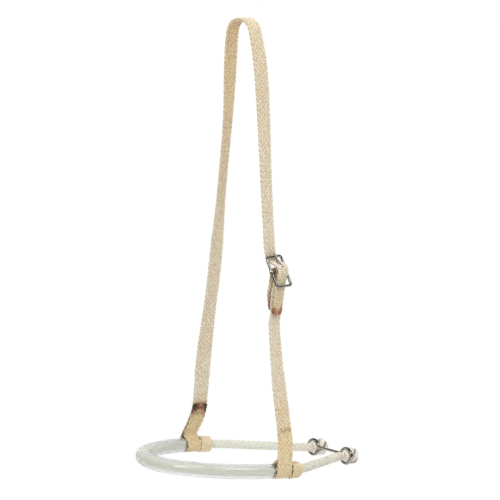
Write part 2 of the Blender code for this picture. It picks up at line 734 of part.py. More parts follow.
def noseband():
    sides = [NOSEBAND_UP]
    tube = noseband_run(-TUBE_END, TUBE_END)
    shape = bmesh.new()
    add_pipe(shape, tube, TUBE_OUTER / 2, TUBE_BORE / 2, sides * len(tube))
    add_object("nose_tube", shape, MATERIALS["vinyl"])
    rope = noseband_run(-ROPE_END, ROPE_END)
    shape = bmesh.new()
    add_round(shape, rope, ROPE_DIA / 2, sides * len(rope), sides=12)
    add_object("noseband_rope", shape, MATERIALS["rope"])
    for name, side in (("far", FAR), ("near", NEAR)):
        ends = sorted((side * COLLAR_START, side * (COLLAR_START + COLLAR_LENGTH)))
        collar = noseband_run(*ends, step=COLLAR_LENGTH / 3)
        shape = bmesh.new()
        inner = ROPE_DIA / 2 + COLLAR_CLEAR
        add_pipe(shape, collar, inner + COLLAR_WALL, inner, sides * len(collar), sink=COLLAR_SINK)
        add_object(name + "_collar", shape, MATERIALS["cotton"])
        rope_knot(name + "_rope_knot", side)


def rope_knot(name, side):
    """Stopper knot at the rope's end: a neck through the clip's eye, then the knot's head."""
    eye = NOSEBAND_ORIGIN + X * side * CLIP_SPACING / 2 + CHINWARD * CHIN_REACH
    full = KNOT_DIA / 2
    neck = KNOT_NECK / 2
    head = CLIP_WIRE / 2 + CLIP_TO_KNOT
    length = NEAR_KNOT_LENGTH if side == NEAR else FAR_KNOT_LENGTH
    profile = [(-NECK_AHEAD, ROPE_DIA / 2), (NECK_FLARE - NECK_AHEAD, neck)]
    for share, swell in KNOT_SWELL:
        profile.append((head + length * share, neck + (full - neck) * swell))
    points = [eye + CHINWARD * along for along, radius in profile]
    shape = bmesh.new()
    add_round(shape, points, [radius for along, radius in profile], [NOSEBAND_UP] * len(points), sides=14)
    add_object(name, shape, MATERIALS["rope"])


# Chin clip

def chin_clip():
    """One wire: a bar whose ends rise over and round an eye on each rope end."""
    mean = (CLIP_EYE_BORE + CLIP_WIRE) / 2
    eye = Vector((CLIP_SPACING / 2, 0))
    flare_y = CLIP_BAR_RISE + CLIP_FLARE
    apart = mean + CLIP_FLARE
    flare = Vector((eye.x - math.sqrt(apart**2 - flare_y**2), flare_y))
    meet = flare.lerp(eye, CLIP_FLARE / apart)
    half = [Vector((0, CLIP_BAR_RISE)), Vector((flare.x / 2, CLIP_BAR_RISE))]
    turn = math.atan2(meet.y - flare.y, meet.x - flare.x)
    flare_steps = 4
    for i in range(flare_steps + 1):
        a = -math.pi / 2 + (turn + math.pi / 2) * i / flare_steps
        half.append(flare + heading(a) * CLIP_FLARE)
    start = turn + math.pi
    stop = math.radians(CLIP_TIP_DEG) - 2 * math.pi
    eye_steps = 20
    for i in range(1, eye_steps + 1):
        half.append(eye + heading(start + (stop - start) * i / eye_steps) * mean)
    flat = [Vector((-p.x, p.y)) for p in half[:0:-1]] + half
    centre = NOSEBAND_ORIGIN + CHINWARD * CHIN_REACH
    points = [centre + X * p.x + NOSEBAND_UP * p.y for p in flat]
    shape = bmesh.new()
    add_round(shape, points, CLIP_WIRE / 2, [CHINWARD] * len(points))
    add_object("chin_clip", shape, MATERIALS["nickel"], pivot=centre)


# Buckle

def buckle():
    outward = BUCKLE_OUT * math.cos(FRAME_LEAN) - BUCKLE_DOWN * math.sin(FRAME_LEAN)
    half_w = (BUCKLE_INNER_WIDTH + BUCKLE_WIRE) / 2
    half_h = BUCKLE_PITCH / 2
    inset_w = half_w - BUCKLE_CORNER
    inset_h = half_h - BUCKLE_CORNER
    flat = []
    corner_steps = 3
    for quarter, (sw, sh) in enumerate(((1, 1), (-1, 1), (-1, -1), (1, -1))):
        for i in range(corner_steps + 1):
            a = math.pi / 2 * (quarter + i / corner_steps)
            flat.append(Vector((sw * inset_w, sh * inset_h)) + heading(a) * BUCKLE_CORNER)
    points = [BAR_CENTRE + BUCKLE_SIDE * p.x + FRAME_DOWN * p.y for p in flat]
    shape = bmesh.new()
    add_round(shape, points, BUCKLE_WIRE / 2, [outward] * len(points), sides=10, closed=True)
    add_object("buckle_frame", shape, MATERIALS["nickel"], pivot=BAR_CENTRE)
    centre_bar(half_w, outward)
    buckle_tongue()


def centre_bar(half_w, outward):
    """Bar whose ends are sleeves crimped round the frame's side rails."""
    ends = [BAR_CENTRE - BUCKLE_SIDE * half_w, BAR_CENTRE + BUCKLE_SIDE * half_w]
    shape = bmesh.new()
    add_round(shape, ends, BAR_DIA / 2, [outward] * 2, sides=12)
    bar = add_object("buckle_bar", shape, MATERIALS["nickel"], pivot=BAR_CENTRE)
    for k, end in enumerate(ends):
        half = FRAME_DOWN * SLEEVE_LENGTH / 2
        shape = bmesh.new()
        add_round(shape, [end - half, end + half], SLEEVE_DIA / 2, [outward] * 2, sides=14)
        sleeve = cutter("sleeve_%d" % k, shape)
        join = bar.modifiers.new(sleeve.name, "BOOLEAN")
        join.operation = "UNION"
        join.solver = "EXACT"
        join.object = sleeve
    for k, end in enumerate(ends):
        half = FRAME_DOWN * SLEEVE_LENGTH
        shape = bmesh.new()
        add_round(shape, [end - half, end + half], BUCKLE_WIRE / 2 + SLEEVE_CLEAR, [outward] * 2, sides=14)
        cut(bar, cutter("sleeve_bore_%d" % k, shape))


def buckle_tongue():
    """Wire eye round the centre bar, then a straight prong over the top bar."""
    prong = Vector((-math.cos(TONGUE_REST), math.sin(TONGUE_REST)))
    square = Vector((math.sin(TONGUE_REST), math.cos(TONGUE_REST)))
    flat = []
    steps = 14
    for i in range(steps + 1):
        a = math.radians(TONGUE_EYE_DEG) * (1 - i / steps)
        flat.append(square * TONGUE_EYE * math.cos(a) - prong * TONGUE_EYE * math.sin(a))
    length = TONGUE_REACH.length + TONGUE_OVERHANG
    radii = [TONGUE_WIRE / 2] * len(flat)
    for share, width in TONGUE_TAPER:
        flat.append(square * TONGUE_EYE + prong * length * share)
        radii.append(TONGUE_WIRE / 2 * width)
    points = [BAR_CENTRE + BUCKLE_DOWN * p.x + BUCKLE_OUT * p.y for p in flat]
    shape = bmesh.new()
    add_round(shape, points, radii, [BUCKLE_SIDE] * len(points))
    add_object("buckle_tongue", shape, MATERIALS["nickel"], pivot=BAR_CENTRE)


for old in list(bpy.data.objects):
    bpy.data.objects.remove(old)

MATERIALS = {
    "cotton": material("cotton", (0.74, 0.66, 0.50), 0.9),
    "thread": material("thread", (0.78, 0.72, 0.58), 0.8),
    "rope": material("rope", (0.72, 0.74, 0.66), 0.7),
    "vinyl": material("vinyl", (0.80, 0.84, 0.82), 0.12, alpha=0.35),
    "nickel": material("nickel", (0.62, 0.61, 0.58), 0.22, metallic=1.0),
}

crown_strap()
near_cheek_strap()
Loop(FAR).build("far")
Loop(NEAR).build("near")
noseband()
chin_clip()
buckle()
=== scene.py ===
"""Looks of the noseband headstall: braided cotton, laid rope, clear tube and nickel wire.

The lines of the strap, the noseband, the clip and the buckle repeat the part's
own sizes, so each dressed piece lies where its solid is.
Metres. +Z up, -Y towards the nose, +X towards the near side with the buckle.
"""

import math

import bpy
import numpy as np
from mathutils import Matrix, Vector
from mathutils.geometry import interpolate_bezier

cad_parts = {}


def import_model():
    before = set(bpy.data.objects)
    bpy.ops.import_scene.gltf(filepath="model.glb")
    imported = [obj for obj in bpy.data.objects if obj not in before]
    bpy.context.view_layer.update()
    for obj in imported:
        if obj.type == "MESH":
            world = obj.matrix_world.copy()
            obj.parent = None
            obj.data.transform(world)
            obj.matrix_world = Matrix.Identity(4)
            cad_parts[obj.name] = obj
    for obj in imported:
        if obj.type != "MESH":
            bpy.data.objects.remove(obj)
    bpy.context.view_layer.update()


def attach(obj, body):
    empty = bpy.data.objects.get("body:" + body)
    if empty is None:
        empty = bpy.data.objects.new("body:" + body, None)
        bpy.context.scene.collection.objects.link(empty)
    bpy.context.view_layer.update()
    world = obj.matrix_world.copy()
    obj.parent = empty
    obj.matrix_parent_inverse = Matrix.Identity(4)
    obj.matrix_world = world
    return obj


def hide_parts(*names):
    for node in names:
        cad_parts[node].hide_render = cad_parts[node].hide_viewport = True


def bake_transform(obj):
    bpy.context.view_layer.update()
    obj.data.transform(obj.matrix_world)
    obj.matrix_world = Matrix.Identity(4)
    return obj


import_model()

# Sides of the horse's head: the buckle is on the near one
NEAR = 1
FAR = -1
SIDE_NAMES = {NEAR: "near", FAR: "far"}

# Camera, as the photograph was taken
PICTURE_PX = 500
FOCAL_PX = 2040
SENSOR_MM = 36
VIEW_AZIMUTH_DEG = 47.5
VIEW_ELEVATION_DEG = 9.57
VIEW_DISTANCE = 2.2
VIEW_SHIFT = 0.0065
VIEW_HEIGHT = -0.2463

# Flat-braided cotton strap
STRAP_WIDTH = 0.0193
STRAP_THICK = 0.0033
LAYER_GAP = 0.0003
STRAP_CORNER = 0.0012
STRAP_STEP = 0.009
SLOPE_STEP = 0.001

# Crown and cheeks
CROWN_FLAT = 0.003
CROWN_BEND = 0.0165
CROWN_BEND_DEG = 80
CROWN_WIDTH = 0.0178
CROWN_EASE = 0.055
HINGE_HALF_SPREAD = 0.0663
HINGE_FORE_AFT = -0.005
UPPER_SPREAD = ((0.0, 0.0), (0.035, 0.063), (0.1, 0.134), (0.23, 0.22), (0.37, 0.33), (0.52, 0.457))
SPREAD = {
    NEAR: (*UPPER_SPREAD, (0.66, 0.588), (0.81, 0.746), (0.9, 0.858), (1.0, 1.0)),
    FAR: (*UPPER_SPREAD, (0.66, 0.593), (0.81, 0.785), (0.9, 0.897), (1.0, 1.0)),
}
CHEEK_SWAY = ((0.0, 0.0), (0.1, 0.0022), (0.23, 0.0026), (0.4, 0.0003),
              (0.65, -0.0021), (0.87, -0.0048), (1.0, -0.005))
TWIST_DEG = {
    NEAR: ((0.0, 0), (0.15, 0), (0.4, -11), (0.6, -11), (0.78, -11), (0.86, -7.5), (0.93, 2), (1.0, 4)),
    FAR: ((0.0, 0), (0.1, -5), (0.25, -19), (0.45, -20), (0.6, -3), (0.75, -3), (0.84, 8), (0.92, 14),
          (1.0, 9)),
}

# Noseband, drawn in its own plane: x across, y from the cheeks towards the chin
NOSEBAND_DROP = 0.4751
NOSEBAND_FORE_AFT = -0.0091
NOSEBAND_TILT_DEG = 7.78
NOSEBAND_HALF_WIDTH = 0.0735
NOSE_DEPTH = 0.1211
JAW_BEND = 0.1133
CHIN_REACH = 0.1425
CHIN_BEND = 0.025
ROPE_DIA = 0.010
TUBE_OUTER = 0.0159
TUBE_BORE = 0.0111

# Cheek loops and the collars behind them
LOOP_WIDTH = 0.0213
LOOP_THICK = 0.0029
LOOP_CLEAR = 0.0006
LOOP_SETBACK = -0.0055
HINGE_RISE = 0.058
HINGE_CLEAR = 0.0004
LOOP_SWAY = 0.45
LOOP_BOW = 0.0022
HANG = {NEAR: 0.45, FAR: 0.58}
LOOP_DROP = 0.25
RING_TOP = 1.5
TAIL_CLEAR = 0.001
TAIL_JOIN = 0.016
TAIL_BEND = 0.006
TUCK = {NEAR: 0.0024, FAR: -0.002}
COLLAR_LENGTH = 0.0155
COLLAR_WALL = 0.004
COLLAR_CLEAR = 0.0003
LOOP_GAP = 0.0012
COLLAR_SNUG = 0.0008

# Chin clip and rope knots
CLIP_WIRE = 0.0032
CLIP_EYE_BORE = 0.014
CLIP_SPACING = 0.0526
CLIP_BAR_RISE = 0.0015
CLIP_FLARE = 0.004
CLIP_TIP_DEG = 200
KNOT_DIA = 0.0196
KNOT_LENGTH = {FAR: 0.0148, NEAR: 0.011}
KNOT_NECK = 0.0126
NECK_AHEAD = 0.0035
NECK_FLARE = 0.001
CLIP_TO_KNOT = 0.0006

# Centre-bar buckle
BUCKLE_DROP = 0.2636
BUCKLE_WIRE = 0.003
BUCKLE_PITCH = 0.0338
BUCKLE_INNER_WIDTH = 0.0228
BUCKLE_CORNER = 0.003
BUCKLE_LEAN_DEG = 20.5
BUCKLE_EASE = 0.0013
BAR_DIA = 0.0032
BAR_CLEAR = 0.00035
SLEEVE_DIA = 0.0045
SLEEVE_LENGTH = 0.005
SLEEVE_CLEAR = 0.0003
TONGUE_WIRE = 0.0024
TONGUE_CLEAR = 0.0003
TONGUE_OVERHANG = 0.0026
TONGUE_SLOT_CLEAR = 0.0005
TONGUE_LIFT_DEG = 30
CHAPE_FOLD_WIDTH = 0.0174
CHAPE_TAIL = 0.040
BILLET_TAIL = 0.0435
CHAPE_EASE = 0.018
CHAPE_SETTLE = 1.5
BILLET_WIDTH = 0.0178
BILLET_SWAY = ((-1.6, 0.0), (-1.0, 0.3), (0.0, -0.72), (1.0, -0.72), (2.75, -1.6))
CHAPE_DRIFT = 0.0015

# The braid: yarns that each pass over two and under two
YARNS = 13
YARN_PITCH = 0.0054
YARN_WIDTH = 0.00265
YARN_THICK = 0.00165
YARN_SIDES = 8
YARN_STEP = 0.00105
YARN_SWELL = 0.75
YARN_LEAST = 0.94
YARN_FILL = 0.1
TURN_SOFTNESS = 0.985
CORE_WIDTH = 0.84
CORE_THICK = 0.42
CORE_PROFILE = ((1, -0.5), (1, 0.5), (0.6, 1), (-0.6, 1), (-1, 0.5), (-1, -0.5), (-0.6, -1), (0.6, -1))
PRESS_DEPTH = 0.0005
PRESS_REACH = 0.004
SLOT_LEAD = 0.0036
SLOT_TAPER = 0.0025
PATH_STEP = 0.0006
CHEEK_STEP = 0.0015
HINGE_GAP = 0.002
BELT_STEP = 0.0012
BELT_TURN = math.radians(6)

# How far the braid strays from even: size of each wobble and its period
STRAY_WIDTH = (0.012, 0.031)
STRAY_PHASE = (0.0022, 0.057)
STRAY_YARN = (0.05, 0.013)
STRAY_RISE = (0.06, 0.017)

# Wear of the cotton, with painted shade: 0 is clean, 1 is tan and 2 is dark; only painted shade goes above 1
# Painted shade on yarns where they dip under others, deeper where the strap is worn
DIP_SHADE = 0.12
DIP_SHADE_SPREAD = 1.6
# Painted shade: the core showing between the yarns is tinted at least this much
CORE_SHADE = 0.4
CROWN_WEAR = 0.3
CROWN_WEAR_DEPTH = 0.3
HINGE_WEAR = 0.25
HINGE_WEAR_REACH = 0.03
BILLET_WEAR = 0.7
# Painted shade on the chape's fold round the centre bar, where it lies under the billet
FOLD_SHADE = 1.15
LOOP_WEAR = 0.12
DOUBLED_WEAR = {NEAR: 0.2, FAR: 0.75}
DOUBLED_EASE = 0.008
COLLAR_WEAR = 0.3
THREAD_WEAR = 0.75

# Scorched ends: reach, heat, extra heat at the edges, and lean to one edge
FAR_TAIL_SCORCH = (0.0155, 0.5, 0.5, 0.0)
BILLET_SCORCH = (0.0095, 0.34, 0.3, 0.1)
NEAR_TAIL_SCORCH = (0.002, 0.25, 0.1, 0.0)
CHAPE_SCORCH = (0.013, 0.42, 0.15, -0.8)
SCORCH_MIDDLE = 0.55
SCORCH_LEAST = 0.0005
SCORCH_FROM = 1.15

# The melted bead that closes a scorched end
BEAD_STEPS = 29
BEAD_SIDES = 14
BEAD_REACH = 0.0012
BEAD_SINK = 0.0008
BEAD_COVER = 0.0004
BEAD_LUMPS = 4.5
BEAD_UNEVEN = 0.2
BEAD_TIP = 0.985
BEAD_BOW = 0.0012
BILLET_BOW = 0.003

# The rope: strands laid round each other
ROPE_STRANDS = 4
ROPE_LAY = 0.026
ROPE_STEP = 0.0011
STRAND_FULL = 1.32
STRAND_YARNS = 7
YARN_LAY = 0.019
YARN_RIDGE = 0.02
HEART_SHARE = 0.6
HEART_SIDES = 8
END_BLUSH = 0.85
END_BLUSH_REACH = 0.03
COVER_EASE = 0.002
GAP_SHADE = 0.7
NEAR_ROPE_BLUSH = 0.3
NEAR_ROPE_GRIME = 0.18

# Knot heads: share of their length, and radius from the neck's (0) to the full one (1)
KNOT_PROFILE = ((0.0, 0.0), (0.08, 0.1), (0.15, 0.3), (0.3, 0.7), (0.45, 0.95), (0.6, 1.0), (0.75, 0.97),
                (0.86, 0.75), (0.94, 0.35), (0.985, -0.3), (1.0, -1.1))
KNOT_SIDES = 48
KNOT_TURN = 2.0
KNOT_CREASE = 0.24
KNOT_INSET = 0.0003
CREASE_EASE = 0.003
KNOT_SMOKE = 0.12
# Painted shade in the creases between the knot's lobes
KNOT_CREASE_SHADE = 1.1
KNOT_TOP_BURN = 0.7
KNOT_TOP_FROM = 0.7
KNOT_EYE_DARKEN = 0.6
KNOT_EYE_REACH = 0.0035
KNOT_WEAR = 0.25
NECK_WEAR = 0.65

# The tube's rounded ends
TUBE_STEP = 0.0016
TUBE_SIDES = 40
TUBE_RIM = 0.0005
RIM_STEPS = 4

# Wire
WIRE_SIDES = 20
BAR_SIDES = 16
BAR_STATIONS = 12
BAR_SHARE = 0.9
CLIP_TIP = 0.6
TONGUE_EYE_DEG = 300
TONGUE_STATIONS = (0.1, 0.2, 0.35, 0.5, 0.65, 0.8, 0.9, 0.95, 0.98, 1.0)
TONGUE_TAPER = (0.97, 0.92, 0.8, 0.5)
SLEEVE_OPEN_DEG = 12
SLEEVE_TURNS = 26
SLEEVE_ENDS = ((-1, 0.97), (-0.93, 1.0), (0.93, 1.0), (1, 0.97))

# Sewing thread, and how far each seam is from its strap's end or from the hinge
THREAD = 0.0007
THREAD_SIDES = 6
THREAD_ARCH = 1.1
STITCH_RISE = 0.005
STITCHES = 7
STITCH_STEPS = 8
CHAPE_SEAM = 0.013
TAIL_SEAM = 0.009
HINGE_SEAM = 0.016

X = Vector((1, 0, 0))
Y = Vector((0, 1, 0))

LAYER_PITCH = STRAP_THICK + LAYER_GAP
TILT = math.radians(NOSEBAND_TILT_DEG)
CHINWARD = Vector((0, math.cos(TILT), -math.sin(TILT)))
NOSEBAND_UP = Vector((0, math.sin(TILT), math.cos(TILT)))
NOSEBAND_ORIGIN = Vector((0, NOSEBAND_FORE_AFT, -NOSEBAND_DROP))


def add_object(name, data):
    made = bpy.data.objects.new(name, data)
    bpy.context.scene.collection.objects.link(made)
    return made


# Camera

def make_camera():
    azimuth = math.radians(VIEW_AZIMUTH_DEG)
    elevation = math.radians(VIEW_ELEVATION_DEG)
    back = Vector((math.sin(azimuth) * math.cos(elevation), -math.cos(azimuth) * math.cos(elevation),
                   math.sin(elevation)))
    target = Vector((VIEW_SHIFT * math.cos(azimuth), VIEW_SHIFT * math.sin(azimuth), VIEW_HEIGHT))
    data = bpy.data.cameras.new("camera")
    data.sensor_width = SENSOR_MM
    data.lens = FOCAL_PX / PICTURE_PX * SENSOR_MM
    made = add_object("camera", data)
    made.location = target + back * VIEW_DISTANCE
    made.rotation_mode = "QUATERNION"
    made.rotation_quaternion = back.to_track_quat("Z", "Y")
    bpy.context.scene.camera = made


make_camera()


# Small tools for lines and curves

def bracket(values, sought):
    """Index of the last value before the sought one, and how far on towards the next it is."""
    k = 0
    while k < len(values) - 2 and sought > values[k + 1]:
        k += 1
    return k, (sought - values[k]) / (values[k + 1] - values[k])


def through(table, t):
    """Smooth value at t on a curve through the (position, value) pairs of a table."""
    k, u = bracket([position for position, _ in table], t)
    slopes = []
    for i in (k, k + 1):
        low = table[max(i - 1, 0)]
        high = table[min(i + 1, len(table) - 1)]
        slopes.append((high[1] - low[1]) / (high[0] - low[0]))
    x0, y0 = table[k]
    x1, y1 = table[k + 1]
    u = min(max(u, 0.0), 1.0)
    rise = (2 * u**3 - 3 * u**2 + 1) * y0 + (3 * u**2 - 2 * u**3) * y1
    lean = (u**3 - 2 * u**2 + u) * slopes[0] + (u**3 - u**2) * slopes[1]
    return rise + lean * (x1 - x0)


def ease(t):
    """Smooth step from 0 to 1."""
    t = min(max(t, 0.0), 1.0)
    return t * t * (3 - 2 * t)


def heading(angle):
    return Vector((math.cos(angle), math.sin(angle)))


def left_of(angle):
    return Vector((-math.sin(angle), math.cos(angle)))


def arc(centre, radius, start, stop, steps):
    """Points of a flat arc from one angle to another."""
    angles = [start + (stop - start) * i / steps for i in range(steps + 1)]
    return [centre + heading(a) * radius for a in angles]


def belt(start, circles, end):
    """Points of a belt from start to end round circles (centre, radius, turn).

    turn is 1 where the belt turns left round the circle and -1 where it turns right.
    """
    stops = [(start, 0.0, 1)] + circles + [(end, 0.0, 1)]
    runs = []
    for (c0, r0, s0), (c1, r1, s1) in zip(stops, stops[1:]):
        gap = c1 - c0
        bearing = math.atan2(gap.y, gap.x) - math.asin((s1 * r1 - s0 * r0) / gap.length)
        runs.append((c0 - left_of(bearing) * s0 * r0, c1 - left_of(bearing) * s1 * r1, bearing))
    points = []
    for k, (p0, p1, bearing) in enumerate(runs):
        count = max(1, math.ceil((p1 - p0).length / BELT_STEP))
        points += [p0.lerp(p1, i / count) for i in range(count)]
        if k == len(runs) - 1:
            points.append(p1)
            continue
        centre, radius, turn = circles[k]
        sweep = turn * ((turn * (runs[k + 1][2] - bearing)) % (2 * math.pi))
        count = max(1, math.ceil(abs(sweep) / BELT_TURN))
        points += [centre - left_of(bearing + sweep * i / count) * turn * radius for i in range(count)]
    return points


def unit_rows(rows):
    return rows / np.linalg.norm(rows, axis=1, keepdims=True)


def slopes_of(rows):
    """Unit direction of a line at each of its rows of points."""
    return unit_rows(np.gradient(rows, axis=0))


def smooth_rows(rows, reach):
    """Running mean of rows, with both ends kept."""
    padded = np.concatenate([np.repeat(rows[:1], reach, 0), rows, np.repeat(rows[-1:], reach, 0)])
    sums = np.cumsum(np.concatenate([np.zeros((1, rows.shape[1])), padded]), axis=0)
    width = 2 * reach + 1
    return (sums[width:] - sums[:-width]) / width


def wander(length, stray, seed):
    """Slow even wobble along a length. stray is its size and its period."""
    size, period = stray
    shifts = np.random.default_rng(seed).random(3)
    turns = length / period
    waves = [np.sin(2 * np.pi * (turns * rate + shift)) for rate, shift in zip((1.0, 1.7, 2.9), shifts)]
    return size * (sum(waves) / 2.2)


def runs_of(rows):
    """Length along a line up to each of its rows of points."""
    return np.concatenate([[0.0], np.cumsum(np.linalg.norm(np.diff(rows, axis=0), axis=1))])


def angles_round(sides):
    return 2 * np.pi * np.arange(sides) / sides


# The noseband's outline

def solve_jaw_angle():
    """Angle at which the rope runs from the jaw bend to the chin bend."""
    low, high = 0.0, math.radians(80)
    for _ in range(60):
        angle = (low + high) / 2
        bends = JAW_BEND + CHIN_BEND
        straight = (straight_end() - bends * math.sin(angle)) / math.cos(angle)
        reach = NOSEBAND_HALF_WIDTH - bends * (1 - math.cos(angle)) - straight * math.sin(angle)
        if reach > CLIP_SPACING / 2:
            low = angle
        else:
            high = angle
    return angle


def knot_start():
    """Where the rope gives way to the thicker neck of its knot, ahead of the clip."""
    return CHIN_REACH - NECK_AHEAD


def straight_end():
    """Where the rope runs parallel to its twin, just ahead of its knot."""
    return knot_start() - ROPE_DIA / 4


def half_outline():
    """Rope's middle line on one side, from the nose to the knot, in the noseband's plane."""
    points = []
    nose_steps = 80
    for i in range(nose_steps):
        a = math.pi / 2 * i / nose_steps
        points.append(Vector((NOSEBAND_HALF_WIDTH * math.sin(a), -NOSE_DEPTH * math.cos(a))))
    angle = solve_jaw_angle()
    arc_steps = 24
    points += arc(Vector((NOSEBAND_HALF_WIDTH - JAW_BEND, 0)), JAW_BEND, 0, angle, arc_steps)
    chin = Vector((CLIP_SPACING / 2 + CHIN_BEND, straight_end()))
    points += arc(chin, CHIN_BEND, math.pi + angle, math.pi, arc_steps)
    points.append(Vector((CLIP_SPACING / 2, knot_start() - 2 * LAYER_GAP)))
    return points


OUTLINE = half_outline()
LENGTHS = [0.0]
for before, after in zip(OUTLINE, OUTLINE[1:]):
    LENGTHS.append(LENGTHS[-1] + (after - before).length)


def outline_at(length):
    """Point of the half outline at a length from the nose."""
    k, share = bracket(LENGTHS, length)
    return OUTLINE[k].lerp(OUTLINE[k + 1], share)


def length_at(y):
    """Length from the nose at which the half outline reaches y."""
    k, share = bracket([point.y for point in OUTLINE], y)
    return LENGTHS[k] + share * (LENGTHS[k + 1] - LENGTHS[k])


def noseband_point(length):
    """Point of the rope in space: positive lengths run from the nose to the near end."""
    flat = outline_at(abs(length))
    side = NEAR if length >= 0 else FAR
    return NOSEBAND_ORIGIN + X * side * flat.x + CHINWARD * flat.y


def noseband_rows(start, end, step):
    count = max(2, math.ceil((end - start) / step))
    rows = np.array([noseband_point(start + (end - start) * i / count) for i in range(count + 1)])
    return smooth_rows(rows, 2) if count > 20 else rows


LOOP_AT = length_at(LOOP_SETBACK)
TUBE_END = LOOP_AT - LOOP_WIDTH / 2 - LOOP_GAP
COLLAR_START = LOOP_AT + LOOP_WIDTH / 2 + LOOP_GAP
ROPE_END = LENGTHS[-1]


# The cheek line that the strap hangs along on each side

HINGE_DEPTH = -noseband_point(LOOP_AT).z - HINGE_RISE
CROWN_END = math.radians(CROWN_BEND_DEG)
CHEEK_TOP = CROWN_BEND * (1 - math.cos(CROWN_END)) - STRAP_THICK / 2
CHEEK_TOP_SPREAD = CROWN_FLAT / 2 + CROWN_BEND * math.sin(CROWN_END)


def cheek(side, depth):
    """Point of the strap's middle line on one cheek, and its width direction."""
    t = (depth - CHEEK_TOP) / (HINGE_DEPTH - CHEEK_TOP)
    spread = through(SPREAD[side], t)
    x = CHEEK_TOP_SPREAD + (HINGE_HALF_SPREAD - CHEEK_TOP_SPREAD) * spread
    y = through(CHEEK_SWAY, t) * HINGE_FORE_AFT / CHEEK_SWAY[-1][1]
    twist = math.radians(through(TWIST_DEG[side], t))
    return Vector((side * x, y, -depth)), Vector((math.sin(twist), math.cos(twist), 0))


def half_width(depth):
    """Half the strap's width at a depth: it is drawn in where it bends over the crown."""
    return (CROWN_WIDTH + (STRAP_WIDTH - CROWN_WIDTH) * ease(depth / CROWN_EASE)) / 2


def hinge_point(side):
    return cheek(side, HINGE_DEPTH)[0]


# The buckle's own directions, at its centre bar

BAR_LINE, BUCKLE_SIDE = cheek(NEAR, BUCKLE_DROP)
ABOVE_BAR, BELOW_BAR = (cheek(NEAR, BUCKLE_DROP + step)[0] for step in (-SLOPE_STEP, SLOPE_STEP))
BUCKLE_DOWN = (BELOW_BAR - ABOVE_BAR).normalized()
BUCKLE_SIDE = (BUCKLE_SIDE - BUCKLE_DOWN * BUCKLE_SIDE.dot(BUCKLE_DOWN)).normalized()
BUCKLE_OUT = BUCKLE_DOWN.cross(BUCKLE_SIDE)
if BUCKLE_OUT.x < 0:
    BUCKLE_OUT = -BUCKLE_OUT
DEPTH_PER_RUN = -BUCKLE_DOWN.z

BAR_STAND = STRAP_THICK / 2 + BUCKLE_EASE + BUCKLE_WIRE / 2
FRAME_LEAN = math.radians(BUCKLE_LEAN_DEG)
LEAN_RISE = BUCKLE_PITCH / 2 * math.sin(FRAME_LEAN)
BAR_OUT = BAR_STAND + LEAN_RISE
BAR_CENTRE = BAR_LINE + BUCKLE_OUT * BAR_OUT
FRAME_DOWN = BUCKLE_DOWN * math.cos(FRAME_LEAN) + BUCKLE_OUT * math.sin(FRAME_LEAN)
FRAME_OUT = BUCKLE_OUT * math.cos(FRAME_LEAN) - BUCKLE_DOWN * math.sin(FRAME_LEAN)
BAR_RUN = BUCKLE_PITCH / 2 * math.cos(FRAME_LEAN)
TOP_BAR = Vector((-BAR_RUN, BAR_OUT - LEAN_RISE))
LOW_BAR = Vector((BAR_RUN, BAR_OUT + LEAN_RISE))
MID_BAR = Vector((0, BAR_OUT))
FOLD_RADIUS = BAR_DIA / 2 + BAR_CLEAR + STRAP_THICK / 2
OVER_RADIUS = FOLD_RADIUS + LAYER_PITCH
UNDER_RADIUS = BUCKLE_WIRE / 2 + BUCKLE_EASE + STRAP_THICK / 2
TONGUE_EYE = BAR_DIA / 2 + TONGUE_CLEAR + TONGUE_WIRE / 2
TONGUE_OVER = BUCKLE_WIRE / 2 + TONGUE_CLEAR + TONGUE_WIRE / 2
TONGUE_REACH = TOP_BAR - MID_BAR
TONGUE_REST = math.atan2(TONGUE_REACH.y, -TONGUE_REACH.x) + math.asin(
    (TONGUE_OVER - TONGUE_EYE) / TONGUE_REACH.length)
TONGUE_FINAL = TONGUE_REST + math.radians(TONGUE_LIFT_DEG) + math.asin(TONGUE_EYE / OVER_RADIUS)
PRONG = Vector((-math.cos(TONGUE_REST), math.sin(TONGUE_REST)))
OFF_PRONG = Vector((math.sin(TONGUE_REST), math.cos(TONGUE_REST)))


def buckle_station(flat, drift=0.0):
    """Point and width direction at (run down the strap, distance outwards) from the buckle."""
    point = cheek(NEAR, BUCKLE_DROP + flat.x * DEPTH_PER_RUN)[0]
    return point + BUCKLE_OUT * flat.y + BUCKLE_SIDE * drift, BUCKLE_SIDE


def billet_station(flat, entry):
    """Point, width direction and half width of the billet: it is drawn in and lies to one side."""
    room = (BUCKLE_INNER_WIDTH - BILLET_WIDTH) / 2
    drawn_in = ease((flat.x - entry) / (-BAR_RUN - entry))
    half = (STRAP_WIDTH + (BILLET_WIDTH - STRAP_WIDTH) * drawn_in) / 2
    return *buckle_station(flat, room * through(BILLET_SWAY, flat.x / BAR_RUN)), half


# Meshes made of closed tubes

